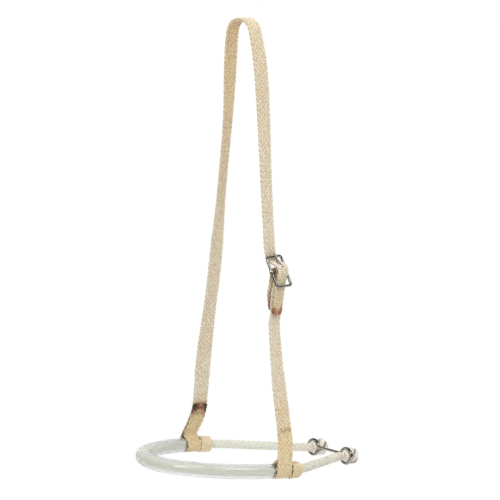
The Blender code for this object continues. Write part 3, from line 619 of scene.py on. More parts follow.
class Skin:
    """Vertices, faces and values of one mesh, gathered tube by tube."""

    def __init__(self):
        self.points = []
        self.faces = []
        self.uvs = []
        self.values = {"tint": [], "sear": [], "yarn": []}
        self.count = 0

    def tube(self, rings, tint=0.0, sear=0.0, yarn=0.5, closed=False):
        """Add a tube of rings (rings, sides, 3), capped at both ends unless closed.

        Its map runs round the tube in u and along it, in metres, in v.
        """
        steps, sides = rings.shape[:2]
        middle = rings.mean(axis=1)
        run = runs_of(middle)
        index = np.arange(steps * sides).reshape(steps, sides) + self.count
        rows = np.arange(steps if closed else steps - 1)
        nexts = (rows + 1) % steps
        turn = np.roll(index, -1, axis=1)
        quads = np.stack([index[rows], turn[rows], turn[nexts], index[nexts]], axis=-1)
        self.faces += quads.reshape(-1, 4).tolist()
        lengths = np.full(len(rows), run[1]) if closed else run[nexts] - run[rows]
        start = run[rows][:, None] + np.zeros(sides)
        end = start + lengths[:, None]
        left = np.arange(sides) / sides + np.zeros((len(rows), 1))
        right = left + 1 / sides
        corners = [(left, start), (right, start), (right, end), (left, end)]
        corners = np.stack([np.stack(corner, axis=-1) for corner in corners], axis=2)
        self.uvs.append(corners.reshape(-1, 2))
        if not closed:
            self.faces.append(index[0][::-1].tolist())
            self.faces.append(index[-1].tolist())
            self.uvs.append(np.zeros((2 * sides, 2)))
        self.points.append(rings.reshape(-1, 3))
        for name, value in (("tint", tint), ("sear", sear), ("yarn", yarn)):
            value = np.asarray(value, float)
            if value.ndim == 1:
                value = value[:, None]
            self.values[name].append(np.broadcast_to(value, (steps, sides)).reshape(-1))
        self.count += steps * sides

    def build(self, name, slot, nodes, body=None):
        """Piece that stands for nodes, in the finish of a slot, and moves with a body."""
        mesh = bpy.data.meshes.new(name)
        mesh.from_pydata(np.concatenate(self.points).tolist(), [], self.faces)
        layer = mesh.uv_layers.new(name="Fibre")
        layer.data.foreach_set("uv", np.concatenate(self.uvs).astype(np.float32).ravel())
        for key, rows in self.values.items():
            made = mesh.attributes.new(key, "FLOAT", "POINT")
            made.data.foreach_set("value", np.concatenate(rows).astype(np.float32))
        mesh.materials.append(FINISHES[slot])
        mesh.shade_smooth()
        piece = add_object(name, mesh)
        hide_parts(*nodes)
        if body:
            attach(piece, body)
        return piece


def one_tube(name, rings, slot, node, body, **values):
    """Piece that is a single tube."""
    skin = Skin()
    skin.tube(rings, **values)
    return skin.build(name, slot, (node,), body)


def circle_rings(rows, radius, side, sides, flat=1.0):
    """Rings of an ellipse along a line, from a direction across it. flat is height over width."""
    radius = np.full(len(rows), radius, float)[:, None]
    along = slopes_of(rows)
    side = np.array(side)
    across = unit_rows(side - along * np.sum(side * along, axis=1, keepdims=True))
    up = np.cross(along, across)
    angles = angles_round(sides)
    wide = (np.cos(angles) * radius)[:, :, None] * across[:, None, :]
    high = (np.sin(angles) * (radius * np.full(len(rows), flat)[:, None]))[:, :, None] * up[:, None, :]
    return rows[:, None, :] + wide + high


# Straps

class Path:
    """A strap's middle line, with its width direction, half width, thickness and tint."""

    def __init__(self):
        self.stations = []
        self.slots = []
        self.scorches = []

    def add(self, point, side, half=STRAP_WIDTH / 2, thick=STRAP_THICK, tint=0.0):
        self.stations.append((*point, *side, half, thick, tint))

    def finish(self):
        """Even out the stations along the line's length."""
        rows = np.array(self.stations)
        steps = np.linalg.norm(np.diff(rows[:, :3], axis=0), axis=1)
        rows = rows[np.concatenate([[True], steps > 1e-6])]
        run = runs_of(rows[:, :3])
        count = round(run[-1] / PATH_STEP)
        even = np.linspace(0, run[-1], count + 1)
        rows = np.stack([np.interp(even, run, column) for column in rows.T], axis=1)
        rows = smooth_rows(rows, 3)
        self.run = runs_of(rows[:, :3])
        self.length = self.run[-1]
        along = slopes_of(rows[:, :3])
        side = unit_rows(rows[:, 3:6] - along * np.sum(rows[:, 3:6] * along, axis=1, keepdims=True))
        self.rows = np.concatenate([rows[:, :3], side, np.cross(along, side), rows[:, 6:]], axis=1)
        return self

    def at(self, run):
        """Point, width direction, normal, half width, thickness and tint at each run."""
        rows = np.stack([np.interp(run, self.run, column) for column in self.rows.T], axis=1)
        return rows[:, :3], unit_rows(rows[:, 3:6]), unit_rows(rows[:, 6:9]), *rows[:, 9:].T

    def one_at(self, run):
        """What at() gives, for a single run."""
        return [row[0] for row in self.at(np.array([run]))]

    def scorch(self, run, place):
        """How burnt a yarn is at each run, from its places across the strap (-1 to 1)."""
        found = np.zeros(len(run))
        for at_end, reach, heat, edge, lean in self.scorches:
            from_end = self.length - run if at_end else run
            share = SCORCH_MIDDLE + (1 - SCORCH_MIDDLE) * np.abs(place) + lean * place
            near = np.clip(SCORCH_FROM - from_end / np.maximum(reach * share, SCORCH_LEAST), 0.0, 1.0)
            found = np.maximum(found, near**0.7 * (heat + edge * np.abs(place) ** 1.5))
        return found

    def nearest(self, point):
        """Run of the station nearest to a point."""
        return self.run[np.argmin(np.linalg.norm(self.rows[:, :3] - np.array(point), axis=1))]


def over_under(crossing, yarns):
    """Height, from -1 to 1, of a yarn that passes over two others and under two."""
    last = (yarns - 1) // 2 - 1
    number = np.clip(np.floor((crossing - 0.5) / 2), 0, last)
    low = np.where(number == 0, 0.0, 0.5 + 2 * number)
    high = np.where(number == last, float(yarns), 2.5 + 2 * number)
    share = np.clip((crossing - low) / (high - low), 0.0, 1.0)
    swell = np.sin(np.pi * share) ** YARN_SWELL
    return np.where(number % 2 == 0, swell, -swell), swell


def part_round_slot(across, run, reach, slot, half_yarn):
    """Move a yarn's crossings of the middle out of a slot, and draw the yarns in beside it."""
    low, high, gap, middle = slot
    inside = (run > low) & (run < high)
    if not inside.any():
        return across
    apart = np.abs(across - middle)
    signs = np.sign(across - middle)
    flips = np.nonzero(inside[1:] & (signs[1:] != signs[:-1]))[0]
    for k in flips:
        crossing = run[k + 1]
        if crossing - low < high - crossing:
            region = (run >= low) & (run <= crossing)
            signs[region] = signs[k + 1]
        else:
            region = (run >= crossing) & (run <= high)
            signs[region] = signs[k]
    clear = (gap + half_yarn) * np.clip(np.minimum(run - low, high - run) / SLOT_TAPER, 0.0, 1.0)
    apart = clear + apart * (1 - clear / (reach - signs * middle))
    moved = np.where(inside, middle + signs * apart, across)
    return smooth_rows(moved[:, None], 1)[:, 0]


def braid(skin, path, seed):
    """Fill a path with a flat braid of yarns round a thin core."""
    rng = np.random.default_rng(seed)
    count = round(path.length / YARN_STEP)
    run = np.linspace(0, path.length, count + 1)
    point, side, normal, half, thick, tint = path.at(run)
    half = half * (1 + wander(run, STRAY_WIDTH, seed))
    squeeze = thick / STRAP_THICK
    for i in range(YARNS):
        phase = run / (YARN_PITCH * YARNS) + i / YARNS + wander(run, STRAY_PHASE, seed + 31 * i + 5)
        wave = np.arcsin(TURN_SOFTNESS * np.sin(2 * np.pi * phase)) / math.asin(TURN_SOFTNESS)
        lift, swell = over_under(((phase + 0.25) * 2 * YARNS) % YARNS, YARNS)
        wide = YARN_WIDTH / 2 * (YARN_LEAST + YARN_FILL * swell) * (1 + wander(run, STRAY_YARN, seed + 7 * i))
        across = wave * (half - wide)
        for slot in path.slots:
            across = part_round_slot(across, run, half - wide, slot, YARN_WIDTH / 2)
        rise = (STRAP_THICK - YARN_THICK) / 2 * squeeze * lift * (1 + wander(run, STRAY_RISE, seed + 3 * i))
        rows = point + side * across[:, None] + normal * rise[:, None]
        flat = YARN_THICK / 2 * squeeze / wide
        rings = circle_rings(rows, wide, np.cross(normal, slopes_of(rows)), YARN_SIDES, flat)
        # Painted shade: each yarn darkens where it dips under its neighbours, more where the strap is worn
        wear_and_shade = tint + (DIP_SHADE + DIP_SHADE_SPREAD * tint) * ((1 - lift) / 2) ** 1.5
        skin.tube(rings, tint=wear_and_shade, sear=path.scorch(run, across / half), yarn=rng.random())
    # Thin core under the yarns, tinted as painted shade in the gaps between them
    wide = side * (half * CORE_WIDTH)[:, None]
    high = normal * (thick / 2 * CORE_THICK)[:, None]
    rings = np.stack([point + wide * w + high * n for w, n in CORE_PROFILE], axis=1)
    whole = np.ones(len(run), bool)
    for low, high, _, _ in path.slots:
        whole &= (run <= low) | (run >= high)
    starts = np.nonzero(whole)[0]
    splits = np.nonzero(np.diff(starts) > 1)[0]
    darkened = path.scorch(run, 0.0)
    for span in np.split(starts, splits + 1):
        if len(span) > 2:
            skin.tube(rings[span], tint=np.maximum(tint[span], CORE_SHADE), sear=darkened[span], yarn=0.3)


def seared_end(skin, path, at_end, seed, heat, bow=BEAD_BOW, wide=1.0):
    """Lumpy melted bead that closes a strap's end. bow is how far its middle stands out."""
    run = path.length if at_end else 0.0
    point, side, normal, half, thick, _ = path.one_at(run)
    outward = np.cross(side, normal) * (1 if at_end else -1)
    rng = np.random.default_rng(seed)
    place = np.linspace(-1, 1, BEAD_STEPS)
    dome = np.sqrt(np.clip(1 - (np.abs(place) * BEAD_TIP) ** 6, 0.0, 1.0))
    lumps = 0.5 + 0.5 * np.cos(place * np.pi * BEAD_LUMPS + rng.random() * 2)
    radius = thick / 2 * dome * (0.84 + BEAD_UNEVEN * lumps)
    reach = bow * (1 - place**2) + BEAD_REACH
    cover = (reach / 2 + BEAD_COVER) * dome * (0.9 + BEAD_UNEVEN * lumps)
    rows = point + side * (place * half * wide)[:, None] + outward * (reach / 2 - BEAD_SINK)[:, None]
    angles = angles_round(BEAD_SIDES)[:, None]
    rings = rows[:, None, :] + (normal * np.cos(angles))[None] * radius[:, None, None]
    rings = rings + (outward * np.sin(angles))[None] * cover[:, None, None]
    skin.tube(rings, tint=1.0, sear=heat * (0.5 + 0.5 * np.abs(place)), yarn=lumps)


class Loop:
    """Cheek loop: a doubled end of strap that passes round the rope."""

    def __init__(self, side):
        self.side = side
        self.centre = noseband_point(side * LOOP_AT)
        ahead = noseband_point(side * (LOOP_AT + LOOP_WIDTH / 2))
        behind = noseband_point(side * (LOOP_AT - LOOP_WIDTH / 2))
        self.along = (ahead - behind).normalized()
        self.out = (X * side - self.along * self.along.x * side).normalized()
        self.up = self.out.cross(self.along) * side
        if self.up.z < 0:
            self.up = -self.up
        self.radius = ROPE_DIA / 2 + LOOP_CLEAR + LOOP_THICK / 2
        sag = LOOP_WIDTH**2 / 8 / (NOSE_DEPTH**2 / NOSEBAND_HALF_WIDTH)
        self.centre -= self.out * sag / 2
        self.hinge = self.flat(hinge_point(side))
        self.shift = (hinge_point(side) - self.centre).dot(self.along)
        above = self.flat(cheek(side, HINGE_DEPTH - STRAP_STEP)[0])
        self.slope = (self.hinge - above).normalized()
        self.tail_top = self.hinge.y - STRAP_WIDTH / 2 - HINGE_CLEAR - TAIL_CLEAR
        self.bend_top = RING_TOP * self.radius

    def flat(self, point):
        """A point's place in the loop's own plane."""
        from_centre = point - self.centre
        return Vector((from_centre.dot(self.out), from_centre.dot(self.up)))

    def station(self, flat, tuck):
        """Point, width direction and half width at a place in the loop's own plane."""
        rise = min(max((flat.y - self.bend_top) / (self.hinge.y - self.bend_top), 0.0), 1.0)
        blend = ease(rise / LOOP_SWAY)
        sway = self.shift * blend + 4 * LOOP_BOW * rise * (1 - rise)
        sway += tuck * ease((flat.y - self.radius / 2) / (2 * self.radius))
        point = self.centre + self.out * flat.x + self.up * flat.y + self.along * sway
        width = self.along.lerp(cheek(self.side, HINGE_DEPTH)[1], blend)
        flare = 1 - ease((flat.y - self.radius) / (self.tail_top - self.radius))
        half = (STRAP_WIDTH + (LOOP_WIDTH - STRAP_WIDTH) * flare) / 2
        return point, width, half

    def flats(self):
        """The loop's line in its own plane, from the hinge round the rope to the tail."""
        hinge = self.hinge.to_3d()
        rope = Vector((self.radius, 0, 0))
        handles = (hinge + self.slope.to_3d() * self.hinge.y * HANG[self.side],
                   rope + Vector((0, self.hinge.y * LOOP_DROP, 0)))
        outer = [p.to_2d() for p in interpolate_bezier(hinge, *handles, rope, 60)]
        joined = [p for p in outer if TAIL_JOIN <= p.y <= self.tail_top]
        doubled = []
        for k, flat in enumerate(joined):
            direction = (joined[min(k + 1, len(joined) - 1)] - joined[max(k - 1, 0)]).normalized()
            doubled.append(flat + Vector((direction.y, -direction.x)) * (LOOP_THICK + LAYER_GAP))
        doubled.reverse()
        rise = (doubled[1] - doubled[0]).normalized()
        bend = doubled[0] + Vector((-rise.y, rise.x)) * TAIL_BEND
        circles = [(Vector((0, 0)), self.radius, -1), (bend, TAIL_BEND, 1)]
        wrap = belt(outer[-4], circles, doubled[1])
        return outer[:-4] + wrap + doubled[2:]

    def stations(self):
        """Stations from the hinge to the tail, more worn where the strap is doubled."""
        tuck = 0.0
        for flat in self.flats():
            if flat.y < -self.radius / 2:
                tuck = TUCK[self.side]
            point, width, half = self.station(flat, tuck)
            doubled = ease((self.tail_top - flat.y) / DOUBLED_EASE + 0.5)
            yield point, width, half, LOOP_THICK, LOOP_WEAR + DOUBLED_WEAR[self.side] * doubled


def crown_wear(depth):
    """How worn the strap is at a depth below the crown."""
    return CROWN_WEAR * (1 - ease(depth / CROWN_WEAR_DEPTH))


def crown_path():
    """From the far loop's tail over the crown to the billet's end."""
    path = Path()
    for station in reversed(list(Loop(FAR).stations())):
        path.add(*station)
    for depth in np.arange(HINGE_DEPTH - HINGE_GAP, CHEEK_TOP + STRAP_STEP, -CHEEK_STEP):
        path.add(*cheek(FAR, depth), half_width(depth), tint=crown_wear(depth))
    bend_steps = 24
    angles = [CROWN_END * i / bend_steps for i in range(bend_steps + 1)]
    centre_x = CROWN_FLAT / 2
    centre_z = STRAP_THICK / 2 - CROWN_BEND
    for side, turn in ((FAR, angles[::-1]), (NEAR, angles)):
        for a in turn:
            spread = side * (centre_x + CROWN_BEND * math.sin(a))
            height = centre_z + CROWN_BEND * math.cos(a)
            path.add(Vector((spread, 0, height)), Y, half_width(-height), tint=CROWN_WEAR)
    entry = -BAR_RUN - STRAP_WIDTH / 2
    low = BUCKLE_DROP + (entry - STRAP_STEP / 2) * DEPTH_PER_RUN
    for depth in np.arange(CHEEK_TOP + STRAP_STEP, low, CHEEK_STEP):
        path.add(*cheek(NEAR, depth), half_width(depth), tint=crown_wear(depth))
    circles = [(TOP_BAR, UNDER_RADIUS, 1), (MID_BAR, OVER_RADIUS, -1), (LOW_BAR, UNDER_RADIUS, 1)]
    end = Vector((BILLET_TAIL, 2 * LAYER_PITCH))
    pierced = []
    aside = []
    for flat in belt(Vector((entry, 0)), circles, end):
        point, width, half = billet_station(flat, entry)
        pressed = 1 - ease(((flat - TOP_BAR).length - UNDER_RADIUS) / PRESS_REACH)
        tint = BILLET_WEAR * ease((flat.x + BAR_RUN) / (BILLET_TAIL + BAR_RUN))
        path.add(point, width, half, STRAP_THICK - PRESS_DEPTH * pressed, tint)
        over_prong = (flat - MID_BAR).dot(OFF_PRONG) - TONGUE_EYE + (STRAP_THICK + TONGUE_WIRE) / 2
        if over_prong > 0 and -BAR_RUN < flat.x < TONGUE_WIRE - OVER_RADIUS * math.sin(TONGUE_FINAL):
            pierced.append(point)
            aside.append((BAR_LINE - point).dot(BUCKLE_SIDE))
    path.finish()
    middle = np.mean(aside)
    gap = TONGUE_WIRE / 2 + TONGUE_SLOT_CLEAR
    path.slots.append((path.nearest(pierced[0]) - SLOT_LEAD, path.nearest(pierced[-1]), gap, middle))
    path.scorches = [(False, *FAR_TAIL_SCORCH), (True, *BILLET_SCORCH)]
    return path


def chape_path():
    """From the near loop's tail up the near cheek, round the centre bar and back down inside."""
    path = Path()
    for station in reversed(list(Loop(NEAR).stations())):
        path.add(*station)
    fold_end = BUCKLE_DROP + CHAPE_TAIL * DEPTH_PER_RUN
    for depth in np.arange(HINGE_DEPTH - HINGE_GAP, fold_end, -CHEEK_STEP):
        point, width = cheek(NEAR, depth)
        lift = LAYER_PITCH * ease(1 - (depth - fold_end) / CHAPE_EASE)
        wear_and_shade = HINGE_WEAR * ease(1 - (HINGE_DEPTH - depth) / HINGE_WEAR_REACH)
        path.add(point + BUCKLE_OUT * lift, width, tint=wear_and_shade)
    start = Vector((CHAPE_TAIL - STRAP_STEP / 2, LAYER_PITCH))
    bend = (LOW_BAR, UNDER_RADIUS + LAYER_PITCH, -1)
    tail_bend = (Vector((CHAPE_SETTLE * BAR_RUN, UNDER_RADIUS)), UNDER_RADIUS, 1)
    circles = [bend, (MID_BAR, FOLD_RADIUS, 1), tail_bend]
    folded = False
    for flat in belt(start, circles, Vector((CHAPE_TAIL, 0))):
        folded = folded or flat.x < 0
        point, width = buckle_station(flat, CHAPE_DRIFT * ease(flat.x / CHAPE_TAIL) * folded)
        # By the bar the chape narrows and takes painted shade, lying under the billet
        near_bar = 1 - ease(((flat - MID_BAR).length - OVER_RADIUS) / BAR_RUN)
        half = STRAP_WIDTH / 2 + (CHAPE_FOLD_WIDTH - STRAP_WIDTH) / 2 * near_bar
        path.add(point, width, half, tint=FOLD_SHADE * near_bar**2)
    path.finish()
    at_bar = path.nearest(BAR_CENTRE - BUCKLE_DOWN * FOLD_RADIUS)
    reach = math.pi / 2 * FOLD_RADIUS
    path.slots.append((at_bar - reach, at_bar + reach, TONGUE_WIRE / 2 + TONGUE_SLOT_CLEAR, 0.0))
    path.scorches = [(False, *NEAR_TAIL_SCORCH), (True, *CHAPE_SCORCH)]
    return path


def collar_path(sign):
    """One turn of strap round the rope behind a loop."""
    middle = sign * (COLLAR_START - COLLAR_SNUG + COLLAR_LENGTH / 2)
    centre = noseband_point(middle)
    ahead = noseband_point(middle + SLOPE_STEP) - noseband_point(middle - SLOPE_STEP)
    along = ahead.normalized() * sign
    out = (X * sign - along * along.x * sign).normalized()
    radius = ROPE_DIA / 2 + COLLAR_CLEAR + COLLAR_WALL - STRAP_THICK / 2
    path = Path()
    steps = 48
    for i in range(steps + 1):
        a = 2 * math.pi * i / steps - math.pi / 2
        outward = out * math.cos(a) + NOSEBAND_UP * math.sin(a)
        path.add(centre + outward * radius, along, COLLAR_LENGTH / 2, tint=COLLAR_WEAR)
    return path.finish()


# Materials

class Graph:
    """Short names for building the nodes of a material or a world."""

    def __init__(self, made):
        made.use_nodes = True
        self.made = made
        self.tree = made.node_tree

    def node(self, kind, **settings):
        made = self.tree.nodes.new(kind)
        for key, value in settings.items():
            setattr(made, key, value)
        return made

    def put(self, socket, value):
        """Give a socket a number, a colour, a vector or another node's output, or leave it (None)."""
        if value is None:
            return
        if isinstance(value, tuple):
            socket.default_value = (*value, 1.0)[:len(socket.default_value)]
        elif isinstance(value, (int, float)):
            socket.default_value = value
        else:
            self.tree.links.new(value, socket)

    def fed(self, made, *values, **named):
        """A node with its first inputs filled, and others by their names."""
        for socket, value in zip(made.inputs, values):
            self.put(socket, value)
        for name, value in named.items():
            self.put(made.inputs[name.replace("_", " ")], value)
        return made

    def attribute(self, name):
        return self.node("ShaderNodeAttribute", attribute_name=name).outputs["Fac"]

    def coordinates(self, kind="Object"):
        return self.node("ShaderNodeTexCoord").outputs[kind]

    def noise(self, scale, detail):
        made = self.node("ShaderNodeTexNoise")
        self.fed(made, self.coordinates(), Scale=scale, Detail=detail, Roughness=0.55)
        return made.outputs["Fac"]

    def fibre(self, scale):
        """The tube's own map, scaled in u and v."""
        map_of_tube = self.node("ShaderNodeUVMap", uv_map="Fibre").outputs["UV"]
        return self.fed(self.node("ShaderNodeMapping"), map_of_tube, Scale=(*scale, 1.0)).outputs["Vector"]

    def wave(self, vector, distortion):
        """Bands along x + y of a vector, one for each unit."""
        made = self.node("ShaderNodeTexWave", wave_type="BANDS", bands_direction="DIAGONAL")
        self.fed(made, vector, Scale=0.2 * math.pi, Distortion=distortion, Detail=2.0)
        return made.outputs["Fac"]

    def ramp(self, value, stops):
        made = self.fed(self.node("ShaderNodeValToRGB"), value)
        elements = made.color_ramp.elements
        while len(elements) < len(stops):
            elements.new(0.5)
        for element, (place, colour) in zip(elements, stops):
            element.position = place
            element.color = (*colour, 1.0)
        return made.outputs["Color"]

    def span(self, value, low, high, start=0.0, end=1.0, curve="LINEAR"):
        """Value moved from low..high to start..end, and held there."""
        made = self.node("ShaderNodeMapRange", interpolation_type=curve)
        return self.fed(made, value, low, high, start, end).outputs["Result"]

    def math(self, kind, a, b):
        return self.fed(self.node("ShaderNodeMath", operation=kind), a, b).outputs["Value"]

    def vector_math(self, kind, *values):
        return self.fed(self.node("ShaderNodeVectorMath", operation=kind), *values).outputs

    def mix(self, share, a, b):
        made = self.fed(self.node("ShaderNodeMix", data_type="RGBA"), share)
        self.put(made.inputs[6], a)
        self.put(made.inputs[7], b)
        return made.outputs[2]

    def bump(self, height, distance, strength, normal=None):
        made = self.node("ShaderNodeBump")
        self.fed(made, Strength=strength, Distance=distance, Height=height, Normal=normal)
        return made.outputs["Normal"]

    def light(self, kind, colour=(1.0, 1.0, 1.0), strength=1.0):
        """Output of a shader that shines with a colour."""
        return self.fed(self.node(kind), colour, strength).outputs[0]

    def either(self, share, a, b):
        """Mix of two shaders: a where share is 0 and b where it is 1."""
        return self.fed(self.node("ShaderNodeMixShader"), share, a, b).outputs["Shader"]

    def finish(self, colour, roughness, normal=None, **values):
        """Fill in the material's own shader."""
        shader = self.tree.nodes["Principled BSDF"]
        self.fed(shader, Base_Color=colour, Roughness=roughness, Normal=normal, **values)
        return self.made


def material(name):
    return Graph(bpy.data.materials.new(name))


def cotton_material():
    """Undyed braided yarn: cream, tan where it is worn, dark where shade is painted in, and brown where it
    was seared.
    """
    g = material("braided_cotton")
    tint = g.attribute("tint")
    sear = g.attribute("sear")
    cream = g.mix(g.attribute("yarn"), (0.785, 0.71, 0.56), (0.865, 0.805, 0.665))
    shaded = g.mix(g.span(g.noise(38, 3), 0.35, 0.7, 0.0, 0.6), cream, (0.76, 0.66, 0.475))
    tan = g.mix(tint, shaded, (0.80, 0.625, 0.35))
    # From 1 to 2 the tint darkens the yarn: painted shade in the dips between yarns and on the chape's fold
    wear_and_shade = g.mix(g.span(tint, 1.0, 2.0), tan, (0.20, 0.155, 0.08))
    specks = g.span(g.noise(330, 3), 0.52, 0.66, 0.0, 0.62)
    dotted = g.mix(g.math("MULTIPLY", specks, g.span(tint, 0.0, 1.0, 0.15, 1.0)), wear_and_shade, (0.46, 0.32, 0.17))
    fibres = g.wave(g.fibre((9.0, 130.0)), 1.6)
    lined = g.mix(g.math("MULTIPLY", fibres, 0.16), dotted, (0.55, 0.43, 0.27))
    blotch = g.math("ADD", sear, g.span(g.noise(300, 4), 0.3, 0.7, -0.22, 0.22))
    browns = ((0.22, (0.62, 0.43, 0.27)), (0.42, (0.42, 0.19, 0.09)), (0.6, (0.20, 0.075, 0.04)),
              (0.85, (0.03, 0.014, 0.009)))
    colour = g.mix(g.span(sear, 0.06, 0.34), lined, g.ramp(blotch, browns))
    normal = g.bump(g.noise(2600, 2), 0.0002, 0.4, g.bump(fibres, 0.00016, 0.9))
    roughness = g.span(sear, 0.2, 0.9, 0.92, 0.45)
    return g.finish(colour, roughness, normal, Sheen_Weight=0.25, Sheen_Roughness=0.6, Specular_IOR_Level=0.2)


def rope_material():
    """Stiff lariat rope, pale grey-green, with fine yarns in each strand and pinkish ends; painted lighter
    where the tube covers it, and darkened where it is seared and where shade is painted in.
    """
    g = material("lariat_rope")
    bare = g.mix(g.noise(45, 3), (0.69, 0.695, 0.585), (0.80, 0.80, 0.72))
    # Painted light: where the tube covers the rope its colour is lighter
    base = g.mix(g.attribute("yarn"), bare, (0.97, 0.97, 0.85))
    yarns = g.wave(g.fibre((7.0, 160.0)), 1.0)
    grained = g.mix(g.math("MULTIPLY", yarns, 0.25), base, (0.58, 0.59, 0.49))
    blush = g.math("MULTIPLY", g.attribute("tint"), g.span(g.noise(95, 2), 0.35, 0.65, 0.45, 1.0))
    colour = g.mix(blush, grained, (0.80, 0.64, 0.53))
    # This darkening comes from searing, and also from painted shade in the gaps by the tube and in the knots'
    # creases
    blotch = g.math("ADD", g.attribute("sear"), g.span(g.noise(300, 3), 0.3, 0.7, -0.2, 0.2))
    darkened = g.mix(g.span(blotch, 0.15, 0.9), colour, (0.07, 0.055, 0.035))
    normal = g.bump(yarns, 0.00025, 0.7, g.bump(g.noise(1500, 2), 0.0002, 0.3))
    return g.finish(darkened, 0.6, normal, Specular_IOR_Level=0.35)


def vinyl_material():
    """Clear soft tube, faintly grey, with fine scuffs."""
    g = material("clear_vinyl")
    roughness = g.span(g.noise(160, 4), 0.4, 0.75, 0.03, 0.12)
    normal = g.bump(g.noise(60, 2), 0.0006, 0.12)
    colour = g.mix(g.noise(24, 2), (0.89, 0.895, 0.92), (0.83, 0.835, 0.87))
    return g.finish(colour, roughness, normal, Transmission_Weight=1.0, IOR=1.46)


def bore_material():
    """The tube's inside, clouded where the rope has rubbed it."""
    g = material("clouded_bore")
    colour = g.mix(g.noise(85, 3), (0.96, 0.96, 0.91), (0.99, 0.99, 0.94))
    roughness = g.span(g.noise(300, 3), 0.3, 0.7, 0.3, 0.42)
    return g.finish(colour, roughness, Transmission_Weight=0.92, IOR=1.46)


def nickel_material():
    """Nickel plate, warm and a little dulled in places; its colour is held well below bare nickel's, a
    painted darkening that stands in for dark reflections.
    """
    g = material("nickel_plate")
    roughness = g.span(g.noise(140, 4), 0.4, 0.7, 0.06, 0.18)
    # Painted reflection: both colours are darker than nickel's own, to darken what the metal reflects
    colour = g.mix(g.span(g.noise(90, 3), 0.45, 0.75), (0.42, 0.40, 0.36), (0.24, 0.20, 0.15))
    normal = g.bump(g.noise(900, 2), 0.00005, 0.3)
    return g.finish(colour, roughness, normal, Metallic=1.0)


COTTON = cotton_material()
FINISHES = {
    "cotton": COTTON,
    "thread": COTTON,
    "rope": rope_material(),
    "vinyl": vinyl_material(),
    "bore": bore_material(),
    "nickel": nickel_material(),
}


# Cotton pieces


def bend_at_hinge(piece):
    """Bake a strap's placement into its mesh."""
    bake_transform(piece)


def straps():
    """The two lengths of strap with their loops, and the two collars."""
    crown = crown_path()
    skin = Skin()
    braid(skin, crown, seed=11)
    seared_end(skin, crown, at_end=False, seed=3, heat=1.0)
    seared_end(skin, crown, at_end=True, seed=5, heat=0.62, bow=BILLET_BOW)
    bend_at_hinge(skin.build("crown_braid", "cotton", ("crown_strap", "far_cheek_loop")))
    chape = chape_path()
    skin = Skin()
    braid(skin, chape, seed=47)
    seared_end(skin, chape, at_end=False, seed=7, heat=0.3, wide=0.9)
    seared_end(skin, chape, at_end=True, seed=9, heat=0.55)
    bend_at_hinge(skin.build("near_cheek_braid", "cotton", ("near_cheek_strap", "near_cheek_loop")))
    for sign in (FAR, NEAR):
        skin = Skin()
        braid(skin, collar_path(sign), seed=60 + sign)
        name = SIDE_NAMES[sign] + "_collar"
        skin.build(name + "_braid", "cotton", (name,), "noseband")
    return crown, chape


def zigzag(name, path, run, inward, body, node):
    """Thread sewn across a strap, its corners pulled into the braid."""
    point, side, normal, half, thick, _ = path.one_at(run)
    along = np.cross(side, normal)
    sign = -1 if (normal[0] * point[0] > 0) == inward else 1
    spread = half - STRAP_CORNER - THREAD
    corners = []
    for i in range(STITCHES + 1):
        place = 2 * i / STITCHES - 1
        rise = STITCH_RISE / 2 * (1 if i % 2 else -1)
        corners.append(point + side * spread * place + along * rise)
    rows = []
    for a, b in zip(corners, corners[1:]):
        for share in np.linspace(0, 1, STITCH_STEPS, endpoint=False):
            lift = thick / 2 - THREAD / 2 + THREAD * THREAD_ARCH * math.sin(math.pi * share)
            rows.append(a + (b - a) * share + normal * sign * lift)
    rows = smooth_rows(np.array(rows), 1)
    rings = circle_rings(rows, THREAD / 2, normal, THREAD_SIDES)
    one_tube(name, rings, "thread", node, body, tint=THREAD_WEAR)


def stitches(crown, chape):
    """One seam at the chape's fold, and one inside and one outside each loop."""
    zigzag("chape_thread", chape, chape.length - CHAPE_SEAM, True, "headstall", "chape_stitch")
    for path, side in ((crown, FAR), (chape, NEAR)):
        seams = (("inner", TAIL_SEAM), ("outer", path.nearest(hinge_point(side)) - HINGE_SEAM))
        for place, run in seams:
            name = SIDE_NAMES[side] + "_loop_" + place
            zigzag(name + "_thread", path, run, place == "inner", "noseband", name + "_stitch")


# Rope, tube and knots

